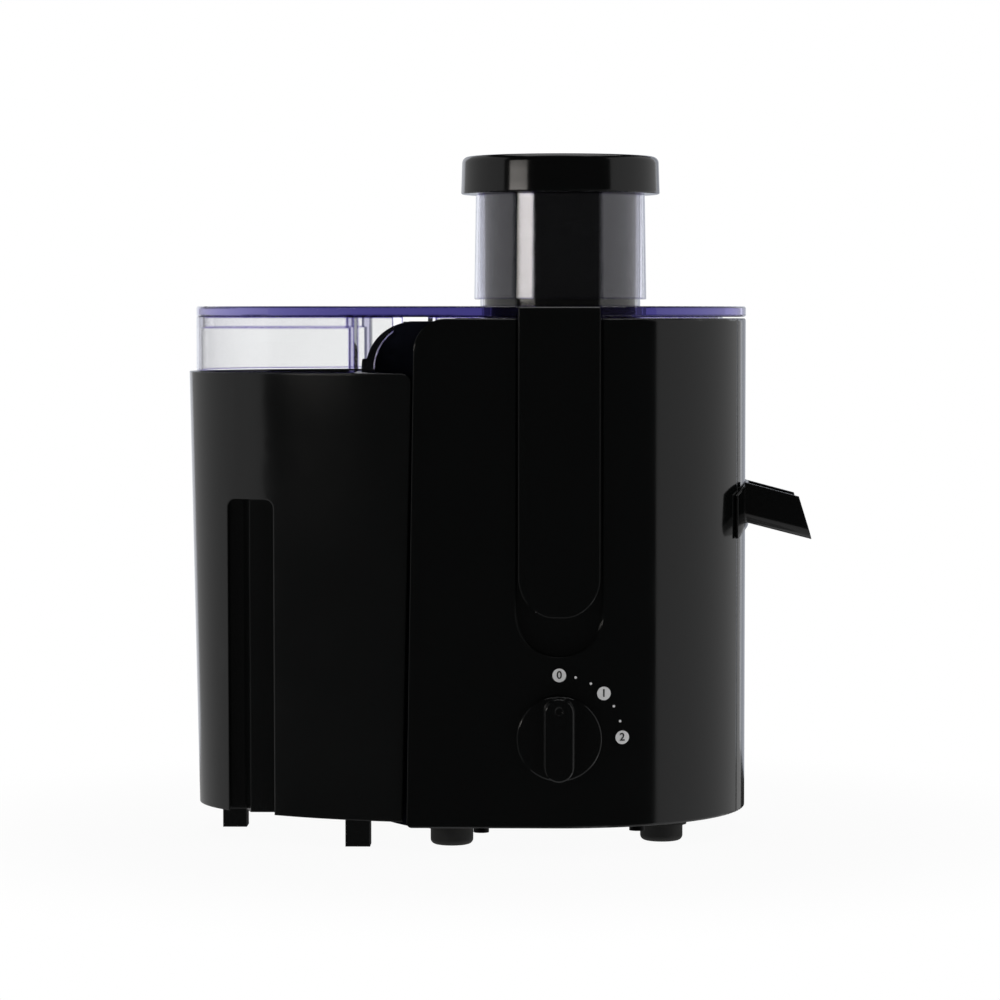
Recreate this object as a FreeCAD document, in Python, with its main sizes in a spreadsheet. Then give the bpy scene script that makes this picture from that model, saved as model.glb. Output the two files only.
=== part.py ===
"""Centrifugal juicer, built as a parametric document and written as one STEP file per piece.

Millimetres, +Z up, front towards -Y. Every piece is drawn about the drive axis and then placed so
that the origin lies on the table under the middle of the whole machine.
"""
import FreeCAD, Part
import math
import os
import re

import Sketcher

SIZES = {
    # Length of a cutting block that has to pass right through the machine
    "through": 400.0,
    # Housing: a round right end about the drive axis and flat sides that run to the left
    "body_radius": 89.0,
    "shell_wall": 2.6,
    "body_bottom": 11.0,
    "body_top": 245.5,
    "edge_top": 66.7,
    "edge_bottom": 70.3,
    "edge_round": 15.0,
    "rim_round": 1.0,
    "seam_depth": 29.7,
    "seam_gap": 0.4,
    "top_plate": 3.0,
    "top_plate_end": 49.7,
    "fit_gap": 0.3,
    "run_gap": 0.05,
    # Left drum wall and the shoulder that sheds the pulp
    "bulge_start": 66.0,
    "bulge_reach": 95.5,
    "shoulder_top": 244.0,
    "shoulder_round": 22.0,
    "pulp_half": 32.0,
    "pulp_floor": 226.0,
    # Deck, base plate, feet and screws
    "deck_level": 132.0,
    "deck_thick": 3.0,
    "ledge_height": 4.0,
    "ledge_width": 4.0,
    "base_thick": 2.5,
    "foot_radius": 10.0,
    "foot_flange": 11.8,
    "foot_flange_thick": 3.2,
    "foot_round": 2.5,
    "foot_left_x": 50.3,
    "foot_left_y": 60.0,
    "foot_right_x": 48.0,
    "foot_right_y": 45.0,
    "boss_radius": 4.5,
    "boss_height": 18.0,
    "boss_left_x": 36.0,
    "boss_right_x": 36.0,
    "boss_inset": 3.4,
    "screw_radius": 1.8,
    "screw_head": 3.6,
    "screw_head_thick": 2.4,
    "screw_grip": 10.0,
    "vent_length": 44.0,
    "vent_width": 4.0,
    "vent_pitch": 9.0,
    # Juice bowl and spout
    "bowl_clear": 0.6,
    "bowl_wall": 2.4,
    "bowl_round": 7.2,
    "bowl_floor": 151.5,
    "bowl_floor_thick": 2.0,
    "bowl_top": 244.0,
    "bowl_ledge": 240.0,
    "bowl_boss_radius": 20.0,
    "bowl_boss_top": 166.0,
    "bowl_foot_inset": 4.0,
    "outlet_half": 16.8,
    "outlet_height": 11.0,
    "outlet_proud": 4.0,
    "spout_half": 22.0,
    "spout_wall": 2.4,
    "spout_bite": 1.0,
    "spout_root_top": 167.7,
    "spout_root_bottom": 148.4,
    "spout_rim_length": 24.6,
    "spout_rim_z": 160.9,
    "spout_length": 31.0,
    "spout_lip_z": 140.2,
    "spout_under_round": 7.0,
    "collar_half": 33.0,
    "collar_thick": 1.2,
    "collar_top": 167.5,
    "collar_drop": 5.5,
    "collar_height": 20.5,
    # Lid, feed tube and hood
    "lid_gap": 0.7,
    "lid_thick": 5.0,
    "lid_round": 1.1,
    "skirt_wall": 2.0,
    "tube_bore": 36.8,
    "tube_wall": 1.6,
    "tube_bottom": 214.0,
    "tube_top": 304.6,
    "hood_inset": 3.4,
    "hood_wall": 2.4,
    "hood_step": 1.2,
    "hood_step_drop": 5.0,
    "hood_right": 97.0,
    "hood_seat_gap": 0.5,
    "tunnel_half": 50.0,
    # Pusher
    "cap_radius": 47.6,
    "cap_taper": 0.6,
    "cap_height": 18.6,
    "cap_crown": 0.8,
    "cap_edge": 3.0,
    "plunger_radius": 36.4,
    "plunger_tip_radius": 35.9,
    "plunger_bottom": 190.0,
    "plunger_wall": 2.0,
    "sleeve_bottom": 254.6,
    "sleeve_radius": 41.3,
    "sleeve_top_radius": 40.5,
    "sleeve_wall": 1.5,
    # Latches
    "latch_half": 18.75,
    "latch_proud": 1.8,
    "latch_clear": 1.6,
    "latch_bottom": 107.8,
    "latch_top": 251.0,
    "latch_edge": 1.4,
    "latch_chamfer": 2.5,
    "hook_length": 5.4,
    "hook_thick": 1.8,
    "hook_gap": 0.9,
    "notch_gap": 0.6,
    "ledge_thin": 2.7,
    "recess_half": 20.0,
    "recess_bottom": 90.0,
    "recess_deep": 5.6,
    "recess_wall": 1.8,
    "pivot_level": 112.0,
    "pivot_inset": 2.0,
    "pivot_radius": 1.5,
    "pivot_half": 11.0,
    "lug_half": 6.0,
    "lug_radius": 2.6,
    # Control knob and switch
    "knob_level": 52.9,
    "knob_radius": 19.6,
    "knob_base": 4.2,
    "knob_height": 12.0,
    "knob_gap": 0.4,
    "knob_edge": 0.8,
    "bar_half": 6.75,
    "bar_edge": 1.0,
    "dimple_radius": 1.7,
    "dimple_depth": 0.8,
    "dimple_inset": 6.0,
    "spindle_radius": 3.0,
    "spindle_length": 26.0,
    "bush_radius": 4.6,
    "nut_flat": 6.5,
    "nut_thick": 2.4,
    "nut_clear": 0.95,
    "switch_width": 30.0,
    "switch_height": 24.0,
    "switch_depth": 20.0,
    # Interlock switch behind the front latch
    "interlock_level": 122.0,
    "interlock_radius": 1.5,
    "interlock_width": 20.0,
    "interlock_height": 10.0,
    "interlock_depth": 11.0,
    # Pulp container
    "bin_reach": 178.3,
    "bin_centre": 42.0,
    "bin_end_radius": 65.0,
    "bin_edge": 68.0,
    "bin_bottom": 13.0,
    "bin_top": 220.2,
    "bin_draft": 4.2,
    "bin_wall": 2.4,
    "bin_gap": 1.2,
    "bin_corner": 3.0,
    "bin_corner_round": 5.0,
    "bin_foot_half": 5.75,
    "bin_left_foot_x": 157.0,
    "bin_right_foot_x": 93.8,
    "bin_foot_inset": 15.5,
    "groove_left": 156.0,
    "groove_slot": 149.0,
    "groove_ridge": 145.5,
    "groove_right": 133.5,
    "groove_top": 161.0,
    "groove_round": 4.0,
    "slot_depth": 6.5,
    "shelf_depth": 2.5,
    # Motor, rotor and basket
    "shaft_radius": 4.0,
    "shaft_clear": 1.0,
    "shaft_bottom": 24.0,
    "shaft_top": 172.0,
    "stator_radius": 34.0,
    "stator_bottom": 62.0,
    "stator_height": 35.0,
    "armature_radius": 20.0,
    "air_gap": 0.6,
    "coil_inner": 23.0,
    "coil_outer": 31.0,
    "coil_half_angle": 38.0,
    "coil_overhang": 2.5,
    "winding_radius": 16.0,
    "winding_overhang": 3.5,
    "bracket_thick": 3.0,
    "upper_bracket_level": 118.0,
    "upper_bracket_radius": 43.0,
    "lower_bracket_level": 36.0,
    "lower_bracket_radius": 37.0,
    "column_depth": 29.5,
    "column_radius": 4.2,
    "bolt_radius": 2.0,
    "bolt_head": 3.4,
    "bearing_radius": 11.0,
    "bearing_height": 7.0,
    "housing_wall": 2.5,
    "commutator_radius": 11.0,
    "commutator_bottom": 43.0,
    "commutator_height": 14.0,
    "brush_width": 6.0,
    "brush_height": 8.0,
    "brush_length": 16.0,
    "holder_wall": 1.6,
    "holder_gap": 3.0,
    "fan_radius": 24.0,
    "fan_bottom": 101.0,
    "fan_height": 9.0,
    "fan_disc": 1.6,
    "fan_hub": 8.0,
    "fan_blade": 1.4,
    "bush_mount_radius": 6.0,
    "bush_mount_pcd": 37.0,
    "seal_radius": 12.0,
    "seal_height": 7.0,
    "collar_wall": 3.0,
    "coupling_radius": 16.5,
    "coupling_bottom": 149.0,
    "basket_floor": 178.0,
    "basket_floor_thick": 2.0,
    "basket_clear": 6.0,
    "basket_flare": 20.0,
    "basket_rim_width": 2.2,
    "basket_rim_height": 4.0,
    "basket_top": 237.0,
    "mesh_thick": 0.6,
    "rib_thick": 1.6,
    "rib_angle": 4.0,
    "grater_rim": 3.0,
    "grater_thick": 1.0,
    "tooth_radius": 1.1,
    "tooth_height": 1.3,
    "tooth_start": 13.0,
    "tooth_margin": 4.0,
    # Cord inlet and terminals at the back
    "inlet_x": 30.0,
    "inlet_level": 40.0,
    "inlet_radius": 5.3,
    "inlet_bore": 3.4,
    "inlet_flange": 7.5,
    "inlet_flange_thick": 2.0,
    "terminal_width": 26.0,
    "terminal_depth": 14.0,
    "terminal_height": 12.0,
}

FAN_BLADES = 10
BASKET_RIBS = 8
GRATER_SPOKES = 12
GRATER_ROWS = 5
VENTS_PER_SIDE = 2

FORMULAS = {
    # The machine's middle, measured from the drive axis
    "axis_x": "(bin_reach - spout_reach) / 2",
    "axis_y": "(knob_front - body_radius - inlet_flange_thick) / 2",
    # Housing
    "body_inside": "body_radius - shell_wall",
    "floor_edge": "body_inside - fit_gap",
    "boss_left_y": "body_inside - boss_inset",
    "boss_right_y": "sqrt((body_inside - boss_inset) ^ 2 - boss_right_x ^ 2)",
    # Latch recess, and the bowl that fits between the two recesses
    "recess_floor": "body_radius - recess_deep",
    "bowl_room": "recess_floor - recess_wall - bowl_clear",
    "skirt_radius": "bowl_room - bowl_wall - 2 * fit_gap",
    "bowl_radius": "skirt_radius - skirt_wall",
    "bowl_foot_radius": "bowl_radius - bowl_foot_inset",
    # Outlet and spout, from the housing's round end
    "outlet_reach": "body_radius + outlet_proud",
    "spout_root": "body_radius - spout_bite",
    "spout_rim_x": "body_radius + spout_rim_length",
    "spout_reach": "body_radius + spout_length",
    # Drum wall: an arc that starts behind the housing's left edge
    "bulge_half": "body_inside - fit_gap",
    "bulge_sag": "bulge_reach - bulge_start",
    "bulge_radius": "(bulge_half ^ 2 + bulge_sag ^ 2) / (2 * bulge_sag)",
    "bulge_x": "bulge_radius - bulge_reach",
    # Container oval, as wide as the housing: two side arcs and one end arc, tangent to each other
    "bin_half": "body_radius",
    "bin_long": "bin_reach - bin_centre",
    "bin_side_radius": (
        "(bin_long ^ 2 + bin_half ^ 2 - 2 * bin_long * bin_end_radius) / (2 * (bin_half - bin_end_radius))"
    ),
    "bin_side_y": "bin_side_radius - bin_half",
    "bin_end_x": "bin_long - bin_end_radius",
    "bin_centres": "bin_side_radius - bin_end_radius",
    "bin_right_foot_y": (
        "sqrt(bin_side_radius ^ 2 - (bin_right_foot_x - bin_centre) ^ 2) - bin_side_y - bin_foot_inset"
    ),
    # Lid and latch
    "lid_bottom": "body_top + lid_gap",
    "tube_radius": "tube_bore + tube_wall",
    "cap_bottom": "tube_top + fit_gap",
    "latch_front": "body_radius + latch_proud",
    "latch_back": "recess_floor + latch_clear",
    "hook_reach": "latch_back - hook_length",
    "pivot_depth": "latch_back + pivot_inset",
    "latch_arc_level": "latch_bottom + latch_half",
    "slot_half": "lug_half + fit_gap",
    "recess_arc_level": "recess_bottom + recess_half",
    # Knob and switch
    "switch_face": "body_inside - shell_wall",
    "knob_back": "body_radius + knob_gap",
    "knob_front": "knob_back + knob_height",
    # Motor
    "stator_top": "stator_bottom + stator_height",
    "bearing_bore": "shaft_radius + run_gap",
    "housing_radius": "bearing_radius + housing_wall",
    "deck_top": "deck_level + deck_thick",
    "basket_rim_radius": "bowl_radius - basket_clear",
    "basket_floor_radius": "basket_rim_radius - basket_flare",
    "basket_floor_top": "basket_floor + basket_floor_thick",
    "basket_rim_bottom": "basket_top - basket_rim_height",
    "grater_radius": "basket_floor_radius - grater_rim",
    "grater_top": "basket_floor_top + grater_thick",
    "tooth_pitch": f"(grater_radius - tooth_margin - tooth_start) / {GRATER_ROWS - 1}",
}

WORD = re.compile(r"[a-z][a-z_]*[a-z]")
FRONT = -1
REAR = 1

doc = FreeCAD.newDocument("juicer")
sheet = doc.addObject("Spreadsheet::Sheet", "sizes")
nodes = []


def fill_sheet():
    """Put each driving size in a cell of its own, with its name as the alias."""
    for row, (name, value) in enumerate(SIZES.items(), start=1):
        sheet.set(f"A{row}", name)
        sheet.set(f"B{row}", str(value))
        sheet.setAlias(f"B{row}", name)
    doc.recompute()


def full(expression):
    """Return an expression with its formulas written out and its sizes named in the sheet."""

    def expand(match):
        word = match.group(0)
        if word in FORMULAS:
            return f"({full(FORMULAS[word])})"
        return f"sizes.{word}" if word in SIZES else word

    return WORD.sub(expand, str(expression))


def number(expression):
    """Work out an expression's present value."""
    return float(sheet.evalExpression(full(expression)))


def bind(thing, path, expression):
    """Tie one property of an object to the sheet."""
    thing.setExpression(path, full(expression))


def node(thing, name):
    """Make an object one of the written pieces, placed from the drive axis into the machine's frame."""
    if thing.TypeId in ("Part::Box", "Part::Cylinder"):
        thing = group(f"{name}_piece", thing)
    thing.Label = name
    bind(thing, "Placement.Base.x", "axis_x")
    bind(thing, "Placement.Base.y", "axis_y")
    nodes.append(thing)
    return thing


# Sketches

def arc_between(start, via, end):
    """Return the arc from start through via to end, and which of its ends is the start."""
    circle = Part.Arc(start, via, end).toShape().Curve
    middle = circle.Center
    turn = (via - start).cross(end - via).z
    first, last = (start, end) if turn > 0 else (end, start)
    begin = math.atan2(first.y - middle.y, first.x - middle.x)
    finish = math.atan2(last.y - middle.y, last.x - middle.x)
    flat = Part.Circle(middle, FreeCAD.Vector(0, 0, 1), circle.Radius)
    return Part.ArcOfCircle(flat, begin, finish), (1 if turn > 0 else 2)


def draw(sketch, items):
    """Draw a closed outline and tie each of its points to the sheet.

    An item is a corner ("x", "y"), a rounded corner ("x", "y", "radius"), or ("via", "x", "y"), which
    bends the run between its two neighbours into an arc through that point.
    """
    corners = []
    bends = {}
    for item in items:
        if item[0] == "via":
            bends[len(corners) - 1] = item[1:]
        else:
            corners.append(item)
    spots = [FreeCAD.Vector(number(c[0]), number(c[1]), 0) for c in corners]
    count = len(corners)
    ends = []
    for index, corner in enumerate(corners):
        spot = spots[index]
        if len(corner) == 2:
            ends.append((spot, spot, None))
            continue
        back = (spots[index - 1] - spot).normalize()
        ahead = (spots[(index + 1) % count] - spot).normalize()
        half = back.getAngle(ahead) / 2
        radius = number(corner[2])
        inset = radius / math.tan(half)
        crown = spot + (back + ahead).normalize() * (radius / math.sin(half) - radius)
        ends.append((spot + back * inset, spot + ahead * inset, crown))

    rules = []
    ties = []
    first = sketch.GeometryCount
    starts = []
    for index in range(count):
        start = ends[index][1]
        end = ends[(index + 1) % count][0]
        if index in bends:
            via = FreeCAD.Vector(number(bends[index][0]), number(bends[index][1]), 0)
            curve, begin = arc_between(start, via, end)
        else:
            curve, begin = Part.LineSegment(start, end), 1
        sketch.addGeometry(curve, False)
        starts.append(begin)

    def pin(geometry, place, across, up):
        for kind, expression in (("DistanceX", across), ("DistanceY", up)):
            ties.append((len(rules), expression))
            rules.append(Sketcher.Constraint(kind, -1, 1, geometry, place, number(expression)))

    def mark(across, up, *runs):
        point = sketch.addGeometry(Part.Point(FreeCAD.Vector(number(across), number(up), 0)), True)
        for run in runs:
            rules.append(Sketcher.Constraint("PointOnObject", point, 1, run))
        pin(point, 1, across, up)

    for index, corner in enumerate(corners):
        before = (index - 1) % count
        run_in, run_out = first + before, first + index
        end_in, start_out = 3 - starts[before], starts[index]
        if len(corner) == 2:
            rules.append(Sketcher.Constraint("Coincident", run_in, end_in, run_out, start_out))
            pin(run_out, start_out, *corner)
            continue
        curve, begin = arc_between(ends[index][0], ends[index][2], ends[index][1])
        bend = sketch.addGeometry(curve, False)
        rules.append(Sketcher.Constraint("Tangent", run_in, end_in, bend, begin))
        rules.append(Sketcher.Constraint("Tangent", bend, 3 - begin, run_out, start_out))
        ties.append((len(rules), corner[2]))
        rules.append(Sketcher.Constraint("Radius", bend, number(corner[2])))
        mark(corner[0], corner[1], run_in, run_out)
    for index, via in bends.items():
        mark(via[0], via[1], first + index)

    base = sketch.ConstraintCount
    sketch.addConstraint(rules)
    for index, expression in ties:
        bind(sketch, f"Constraints[{base + index}]", expression)


def circle(sketch, across, up, radius):
    """Add a circle to a sketch, tied to the sheet."""
    spot = FreeCAD.Vector(number(across), number(up), 0)
    ring = sketch.addGeometry(Part.Circle(spot, FreeCAD.Vector(0, 0, 1), number(radius)), False)
    base = sketch.ConstraintCount
    sketch.addConstraint([
        Sketcher.Constraint("DistanceX", -1, 1, ring, 3, spot.x),
        Sketcher.Constraint("DistanceY", -1, 1, ring, 3, spot.y),
        Sketcher.Constraint("Radius", ring, number(radius)),
    ])
    for index, expression in enumerate((across, up, radius)):
        bind(sketch, f"Constraints[{base + index}]", expression)


# Features

def new_body(name):
    """Add an empty body."""
    return doc.addObject("PartDesign::Body", name)


def new_sketch(body, name, role, lift="0"):
    """Add a sketch on one of a body's own origin planes, lifted along the plane's normal."""
    sketch = body.newObject("Sketcher::SketchObject", name)
    plane = next(f for f in body.Origin.OriginFeatures if f.Role == role)
    sketch.AttachmentSupport = [(plane, "")]
    sketch.MapMode = "FlatFace"
    bind(sketch, "AttachmentOffset.Base.z", lift)
    return sketch


def pad(body, sketch, length):
    """Raise a sketch into a solid along its plane's normal."""
    feature = body.newObject("PartDesign::Pad", f"{sketch.Name}_pad")
    feature.Profile = sketch
    bind(feature, "Length", length)
    return feature


def prism(name, role, lift, length, items, circles=()):
    """Return a body raised from one outline, with round holes in it."""
    body = new_body(name)
    sketch = new_sketch(body, f"{name}_outline", role, lift)
    draw(sketch, items)
    for ring in circles:
        circle(sketch, *ring)
    pad(body, sketch, length)
    return body


def disc(name, role, lift, length, across, up, radius, bores=()):
    """Return a body raised from one circle, with round holes in it."""
    body = new_body(name)
    sketch = new_sketch(body, f"{name}_outline", role, lift)
    circle(sketch, across, up, radius)
    for ring in bores:
        circle(sketch, *ring)
    pad(body, sketch, length)
    return body


def add_turn(body, name, items, angle="360"):
    """Spin a half section about the body's vertical axis and add it to the body."""
    sketch = new_sketch(body, f"{name}_section", "XZ_Plane")
    draw(sketch, items)
    feature = body.newObject("PartDesign::Revolution", f"{name}_turn")
    feature.Profile = sketch
    feature.ReferenceAxis = (sketch, ["V_Axis"])
    bind(feature, "Angle", angle)
    return feature


def turned(name, items):
    """Return a body spun from one half section, given as radius and height."""
    body = new_body(name)
    add_turn(body, name, items)
    return body


def ring(name, inner, outer, bottom, top):
    """Return a plain ring about the drive axis."""
    return turned(name, [(inner, bottom), (outer, bottom), (outer, top), (inner, top)])


def loft(name, lower, upper, bottom, top):
    """Return a body with straight sides between two outlines."""
    body = new_body(name)
    sketches = []
    for part, level, items in (("foot", bottom, lower), ("rim", top, upper)):
        sketch = new_sketch(body, f"{name}_{part}", "XY_Plane", level)
        draw(sketch, items)
        sketches.append(sketch)
    feature = body.newObject("PartDesign::AdditiveLoft", f"{name}_loft")
    feature.Profile = sketches[0]
    feature.Sections = [sketches[1]]
    feature.Ruled = True
    return body


def polar(body, features, count):
    """Repeat features around the body's vertical axis."""
    pattern = body.newObject("PartDesign::PolarPattern", f"{features[0].Name}_pattern")
    pattern.Originals = features
    pattern.Axis = (next(f for f in body.Origin.OriginFeatures if f.Role == "Z_Axis"), [""])
    pattern.Angle = 360
    pattern.Occurrences = count
    body.Tip = pattern
    return pattern


def block(name, x, y, z, length, width, height):
    """Return a box from its lowest corner and its three sizes."""
    box = doc.addObject("Part::Box", name)
    for path, expression in (
        ("Length", length), ("Width", width), ("Height", height),
        ("Placement.Base.x", x), ("Placement.Base.y", y), ("Placement.Base.z", z),
    ):
        bind(box, path, expression)
    return box


def rod(name, radius, length, x, y, z, along="Z"):
    """Return a cylinder that starts at a point and runs along an axis."""
    cylinder = doc.addObject("Part::Cylinder", name)
    turns = {"X": (FreeCAD.Vector(0, 1, 0), 90), "Y": (FreeCAD.Vector(1, 0, 0), -90), "Z": None}
    if turns[along]:
        cylinder.Placement = FreeCAD.Placement(FreeCAD.Vector(), FreeCAD.Rotation(*turns[along]))
    for path, expression in (
        ("Radius", radius), ("Height", length),
        ("Placement.Base.x", x), ("Placement.Base.y", y), ("Placement.Base.z", z),
    ):
        bind(cylinder, path, expression)
    return cylinder


def fuse(name, *pieces):
    """Join pieces into one solid."""
    joined = doc.addObject("Part::MultiFuse", name)
    joined.Shapes = list(pieces)
    joined.Refine = True
    return joined


def common(name, *pieces):
    """Keep what all the pieces share."""
    shared = doc.addObject("Part::MultiCommon", name)
    shared.Shapes = list(pieces)
    shared.Refine = True
    return shared


def cut(name, base, *tools):
    """Take tools away from a base."""
    for index, tool in enumerate(tools):
        left = doc.addObject("Part::Cut", f"{name}_{index}")
        left.Base = base
        left.Tool = tool
        left.Refine = True
        base = left
    return base


def group(name, *pieces):
    """Keep separate solids together as one piece."""
    compound = doc.addObject("Part::Compound", name)
    compound.Links = list(pieces)
    return compound


def soften(body, name, radius, wanted):
    """Round the edges of a body that a test picks out."""
    doc.recompute()
    base = body.Tip
    edges = [f"Edge{i}" for i, edge in enumerate(base.Shape.Edges, start=1) if wanted(edge)]
    fillet = body.newObject("PartDesign::Fillet", name)
    fillet.Base = (base, edges)
    bind(fillet, "Radius", radius)
    return body


def lies_at(axis, expression):
    """Return a test that picks out the edges lying in one level plane across an axis."""
    place = number(expression)

    def test(edge):
        box = edge.BoundBox
        low, high = (box.YMin, box.YMax) if axis == "Y" else (box.ZMin, box.ZMax)
        return abs(low - place) < 0.01 and abs(high - place) < 0.01

    return test


# Outlines that several pieces share

def housing_outline(inset):
    """Return the housing's plan: round on the right, flat at front and back, open to the left."""
    edge = f"(body_radius - {inset})"
    left = "-(edge_bottom + edge_round)"
    return [("0", f"-{edge}"), ("via", edge, "0"), ("0", edge), (left, edge), (left, f"-{edge}")]


def floor_outline():
    """Return the plan of a plate that closes the inside of the housing and the drum wall."""
    inner = "(bulge_half - shell_wall - fit_gap)"
    step = "-(top_plate_end - fit_gap)"
    radius = "(bulge_radius - shell_wall - fit_gap)"
    start = f"(bulge_x - sqrt({radius} ^ 2 - {inner} ^ 2))"
    return [
        ("0", "-floor_edge"), ("via", "floor_edge", "0"), ("0", "floor_edge"),
        (step, "floor_edge"), (step, inner), (start, inner),
        ("via", f"bulge_x - {radius}", "0"), (start, f"-{inner}"), (step, f"-{inner}"),
        (step, "-floor_edge"),
    ]


def oval_side(inset, x):
    """Return y on the container oval's rear side arc at a place x to the left of the drive axis."""
    return f"(sqrt((bin_side_radius - {inset}) ^ 2 - ({x} - bin_centre) ^ 2) - bin_side_y)"


def oval_end(inset, x):
    """Return y on the container oval's round left end at a place x to the left of the drive axis."""
    return f"sqrt((bin_end_radius - {inset}) ^ 2 - ({x} - bin_centre - bin_end_x) ^ 2)"


def oval_tail(inset):
    """Return the oval's round left end: from its front side arc round to its rear one."""
    meet_x = f"-(bin_centre + bin_end_x + (bin_end_radius - {inset}) * bin_end_x / bin_centres)"
    meet_y = f"((bin_end_radius - {inset}) * bin_side_y / bin_centres)"
    middle = "((bin_centre + bin_reach) / 2)"
    side = oval_side(inset, middle)
    return [
        ("via", f"-{middle}", f"-{side}"), (meet_x, f"-{meet_y}"),
        ("via", f"-(bin_reach - {inset})", "0"), (meet_x, meet_y),
        ("via", f"-{middle}", side),
    ]


def bin_outline(inset, edge, gap):
    """Return the container's plan: the oval's left end, hollow on the right around the drum wall."""
    corner = oval_side(inset, edge)
    inner = f"({corner} - bin_corner)"
    hollow = f"(bulge_radius + {gap})"
    hollow_x = f"(bulge_x - sqrt({hollow} ^ 2 - {inner} ^ 2))"
    return [
        (f"-{edge}", f"-{corner}"), *oval_tail(inset), (f"-{edge}", corner),
        (hollow_x, inner), ("via", f"bulge_x - {hollow}", "0"), (hollow_x, f"-{inner}"),
    ]


# Housing

def bulge_block(name, grow, bottom, top):
    """Return the drum wall's block: an arc on its left, with the arc's top edge rounded over."""
    half = f"(bulge_half + {grow})"
    radius = f"(bulge_radius + {grow})"
    start = f"(bulge_x - sqrt({radius} ^ 2 - {half} ^ 2))"
    body = prism(name, "XY_Plane", bottom, f"{top} - {bottom}", [
        ("0", f"-{half}"), (start, f"-{half}"), ("via", f"bulge_x - {radius}", "0"), (start, half),
        ("0", half),
    ])
    level = lies_at("Z", top)
    return soften(
        body, f"{name}_shoulder", f"shoulder_round + {grow}",
        lambda edge: isinstance(edge.Curve, Part.Circle) and level(edge),
    )


def make_drum_wall():
    """Wall the housing off from the container, with a channel over its shoulder for the pulp."""
    outer = bulge_block("drum_outer", "0", "body_bottom", "shoulder_top")
    inner = bulge_block("drum_inner", "(-shell_wall)", "0", "shoulder_top - shell_wall")
    copy = bulge_block("drum_copy", "0", "body_bottom", "shoulder_top")
    wall = "(pulp_half + shell_wall)"
    around = block("channel_around", "-through", f"-{wall}", "pulp_floor - shell_wall", "through",
                   f"2 * {wall}", "through")
    channel = block("channel_room", "-through", "-pulp_half", "pulp_floor", "through", "2 * pulp_half",
                    "through")
    room = rod("drum_bowl_room", "bowl_room", "through", "0", "0", "deck_top")
    beyond = block("drum_beyond", "-top_plate_end - fit_gap", "-through / 2", "0", "through", "through",
                   "through")
    shell = cut("drum_shell", outer, inner)
    whole = fuse("drum_whole", shell, common("channel_block", copy, around))
    node(cut("drum_cut", whole, room, channel, beyond), "drum_wall")


def latch_outline(half, bottom, arc_level, top):
    """Return a strap's front outline: straight sides down to a half-round lower end."""
    return [
        (f"-{half}", top), (f"-{half}", arc_level), ("via", "0", bottom), (half, arc_level), (half, top),
    ]


def face_lift(side, near, far):
    """Return the lift and length that raise an upright sketch between two depths on one side."""
    return (near, f"{far} - ({near})") if side == FRONT else (f"-({far})", f"{far} - ({near})")


def shell_cavity(name):
    """Return the room inside the two shells, with a ledge left standing for the deck."""
    ledge = "deck_level - ledge_height"
    return fuse(
        f"{name}_cavity",
        prism(f"{name}_low", "XY_Plane", "0", ledge, housing_outline("shell_wall")),
        prism(f"{name}_step", "XY_Plane", "0", "deck_level", housing_outline("(shell_wall + ledge_width)")),
        prism(
            f"{name}_high", "XY_Plane", "deck_level", "body_top - top_plate - deck_level",
            housing_outline("shell_wall"),
        ),
        block(f"{name}_left", "-through", "-body_inside", "0", "through - top_plate_end", "2 * body_inside",
              "through"),
    )


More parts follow.
